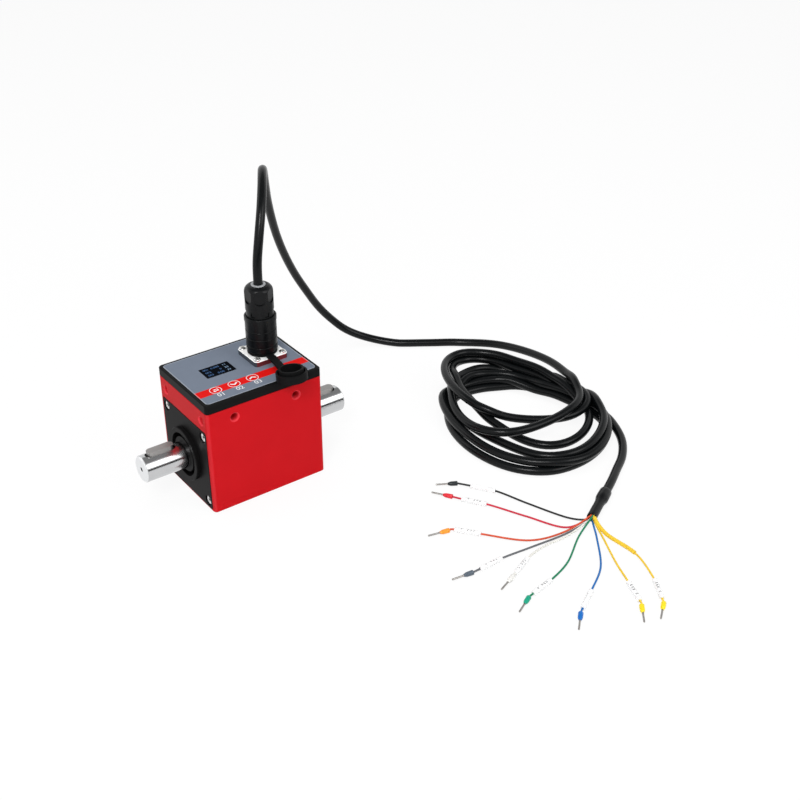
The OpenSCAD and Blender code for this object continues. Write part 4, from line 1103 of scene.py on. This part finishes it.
def nickel_finish():
    made, place = new_finish("nickel")
    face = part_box("receptacle_shell")[0][1]
    # Painted highlight: the top is a bright white without metal.
    top = above(part_of(place, "Z"), FLANGE_TOP - SIDE_IN)
    front = above(0 - part_of(place, "Y"), 0 - face - SIDE_IN)
    fine = noise(place, 3000, 2)
    # Painted reflection: dark grey sides for the cover's corner, and a red front side for the stripe.
    side = mix(front, (0.22, 0.22, 0.225), (0.60, 0.10, 0.10))
    return shade(
        made, colour=mix(top, side, (0.96, 0.96, 0.95)), metallic=1 - top, roughness=0.16 + 0.1 * fine,
        normal=bump(fine, 0.2, 0.00001))


finishes["nickel"] = nickel_finish()
print("flange is ready")

# %% [markdown]
# ## The printed label and the display
# The label is one sheet of film with a grey-blue ground and a red stripe where the keys are. The stripe
# is a mask on the Y coordinate, so it is sharp at any size. The film's cut edge is a little paler. The
# display is dark glass, and its digits shine by themselves.

# %% Label film, display glass and digits
STRIPE_LOW = -0.0210
STRIPE_HIGH = -0.0134
STRIPE_SOFT = 0.00006
FILM_EDGE = 0.0006


def label_finish():
    made, place = new_finish("label_film")
    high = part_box("label_film")[1]
    stripe = between(part_of(place, "Y"), STRIPE_LOW, STRIPE_HIGH, STRIPE_SOFT)
    side = above(abs(part_of(place, "X")), high[0] - FILM_EDGE)
    end = above(abs(part_of(place, "Y")), high[1] - FILM_EDGE)
    rim = side.math("MAXIMUM", side, end)
    cloud = noise(place, 150, 3)
    fine = noise(place, 5200, 2)
    ground = mix(cloud, (0.150, 0.178, 0.226), (0.168, 0.198, 0.250))
    red = mix(cloud, (0.63, 0.006, 0.005), (0.68, 0.009, 0.007))
    printed = mix(stripe, ground, red)
    return shade(
        made, colour=mix(rim * 0.35, printed, (0.55, 0.58, 0.62)), roughness=0.40 + 0.12 * fine,
        normal=bump(fine, 0.2, 0.00002), specular=0.04)


def glass_finish():
    made, place = new_finish("display_black")
    cloud = noise(place, 400, 2)
    return shade(
        made, colour=mix(cloud, (0.003, 0.0035, 0.005), (0.005, 0.006, 0.008)), roughness=0.14 + 0.05 * cloud,
        specular=0.0)


def digit_finish(name, dim, bright):
    made, place = new_finish(name)
    spots = noise(place, 3000, 2)
    return shade(
        made, colour=(0.01, 0.01, 0.01), roughness=0.5 + 0.1 * spots, emission=mix(spots, dim, bright),
        emission_strength=1.0)


finishes["label_film"] = label_finish()
finishes["display_black"] = glass_finish()
finishes["blue_digit"] = digit_finish("blue_digit", (0.010, 0.065, 0.20), (0.03, 0.15, 0.38))
finishes["pale_digit"] = digit_finish("pale_digit", (0.14, 0.26, 0.42), (0.32, 0.48, 0.66))
print("label and display are ready")

# %% [markdown]
# ## Dress the pieces
# Each CAD node and each new piece now gets its finish. A CAD node keeps its mesh, and only its material
# slot is filled.

# %% Dress the CAD nodes and the new pieces
DRESS = {
    "red_paint": ["housing"],
    "black_metal": ["end_cover_left", "end_cover_right", "shaft_collar_left", "shaft_collar_right"],
    "black_cover": ["top_cover"],
    "bright_steel": ["shaft"],
    "key_steel": ["key_left", "key_right"],
    "screw_steel": ["receptacle_screws", "cover_screws", "board_screws"],
    "zinc_painted_light": ["end_cover_screws"],
    "bearing_steel": [
        "bearing_outer_left", "bearing_inner_left", "bearing_balls_left", "bearing_outer_right",
        "bearing_inner_right", "bearing_balls_right"],
    "ferrite": ["rotor_coil", "stator_coil"],
    "gauge_film": ["strain_gauges"],
    "disc_metal": ["speed_disc"],
    "dark_plastic": ["speed_pickup", "display_module", "key_switches", "receptacle_insert", "plug_insert"],
    "board_green": ["main_board"],
    "display_black": ["display_window"],
    "key_white": ["key_plunger_1", "key_plunger_2", "key_plunger_3"],
    "label_film": ["label_film"],
    "nickel": ["receptacle_shell"],
    "contact_gold": ["receptacle_pins"],
    "black_rubber": ["dust_cap"],
    "black_plastic": ["coupling_sleeve", "plug_body", "gland_nut"],
    "grey_rubber": ["gland_seal"]}


def dress(piece, finish):
    if piece.material_slots:
        for place in piece.material_slots:
            place.material = finishes[finish]
    else:
        piece.data.materials.append(finishes[finish])


for finish, names in DRESS.items():
    for name in names:
        dress(nodes[name], finish)
ADDED = [
    ("white_ink", white_ink), ("black_ink", marker_ink), ("blue_digit", blue_digits),
    ("pale_digit", pale_digits), ("cable_black", [cable]), ("shrink_black", [sleeve]),
    ("wire_yellow", [shield_sleeve])]
for finish, pieces in ADDED:
    for piece in pieces:
        dress(piece, finish)
for colour, wire in wires.items():
    paint = "yellow" if colour == "shield" else colour
    dress(wire, "wire_" + paint)
    marker, collar, pin = fittings[colour][:3]
    dress(marker, "marker_white")
    dress(collar, "collar_" + paint)
    dress(pin, "tinned_copper")
print("dressed", sum(len(names) for names in DRESS.values()), "CAD nodes")

# %% [markdown]
# ## Update the scene
# The view layer is updated once more.

# %% Update the view layer
bpy.context.view_layer.update()
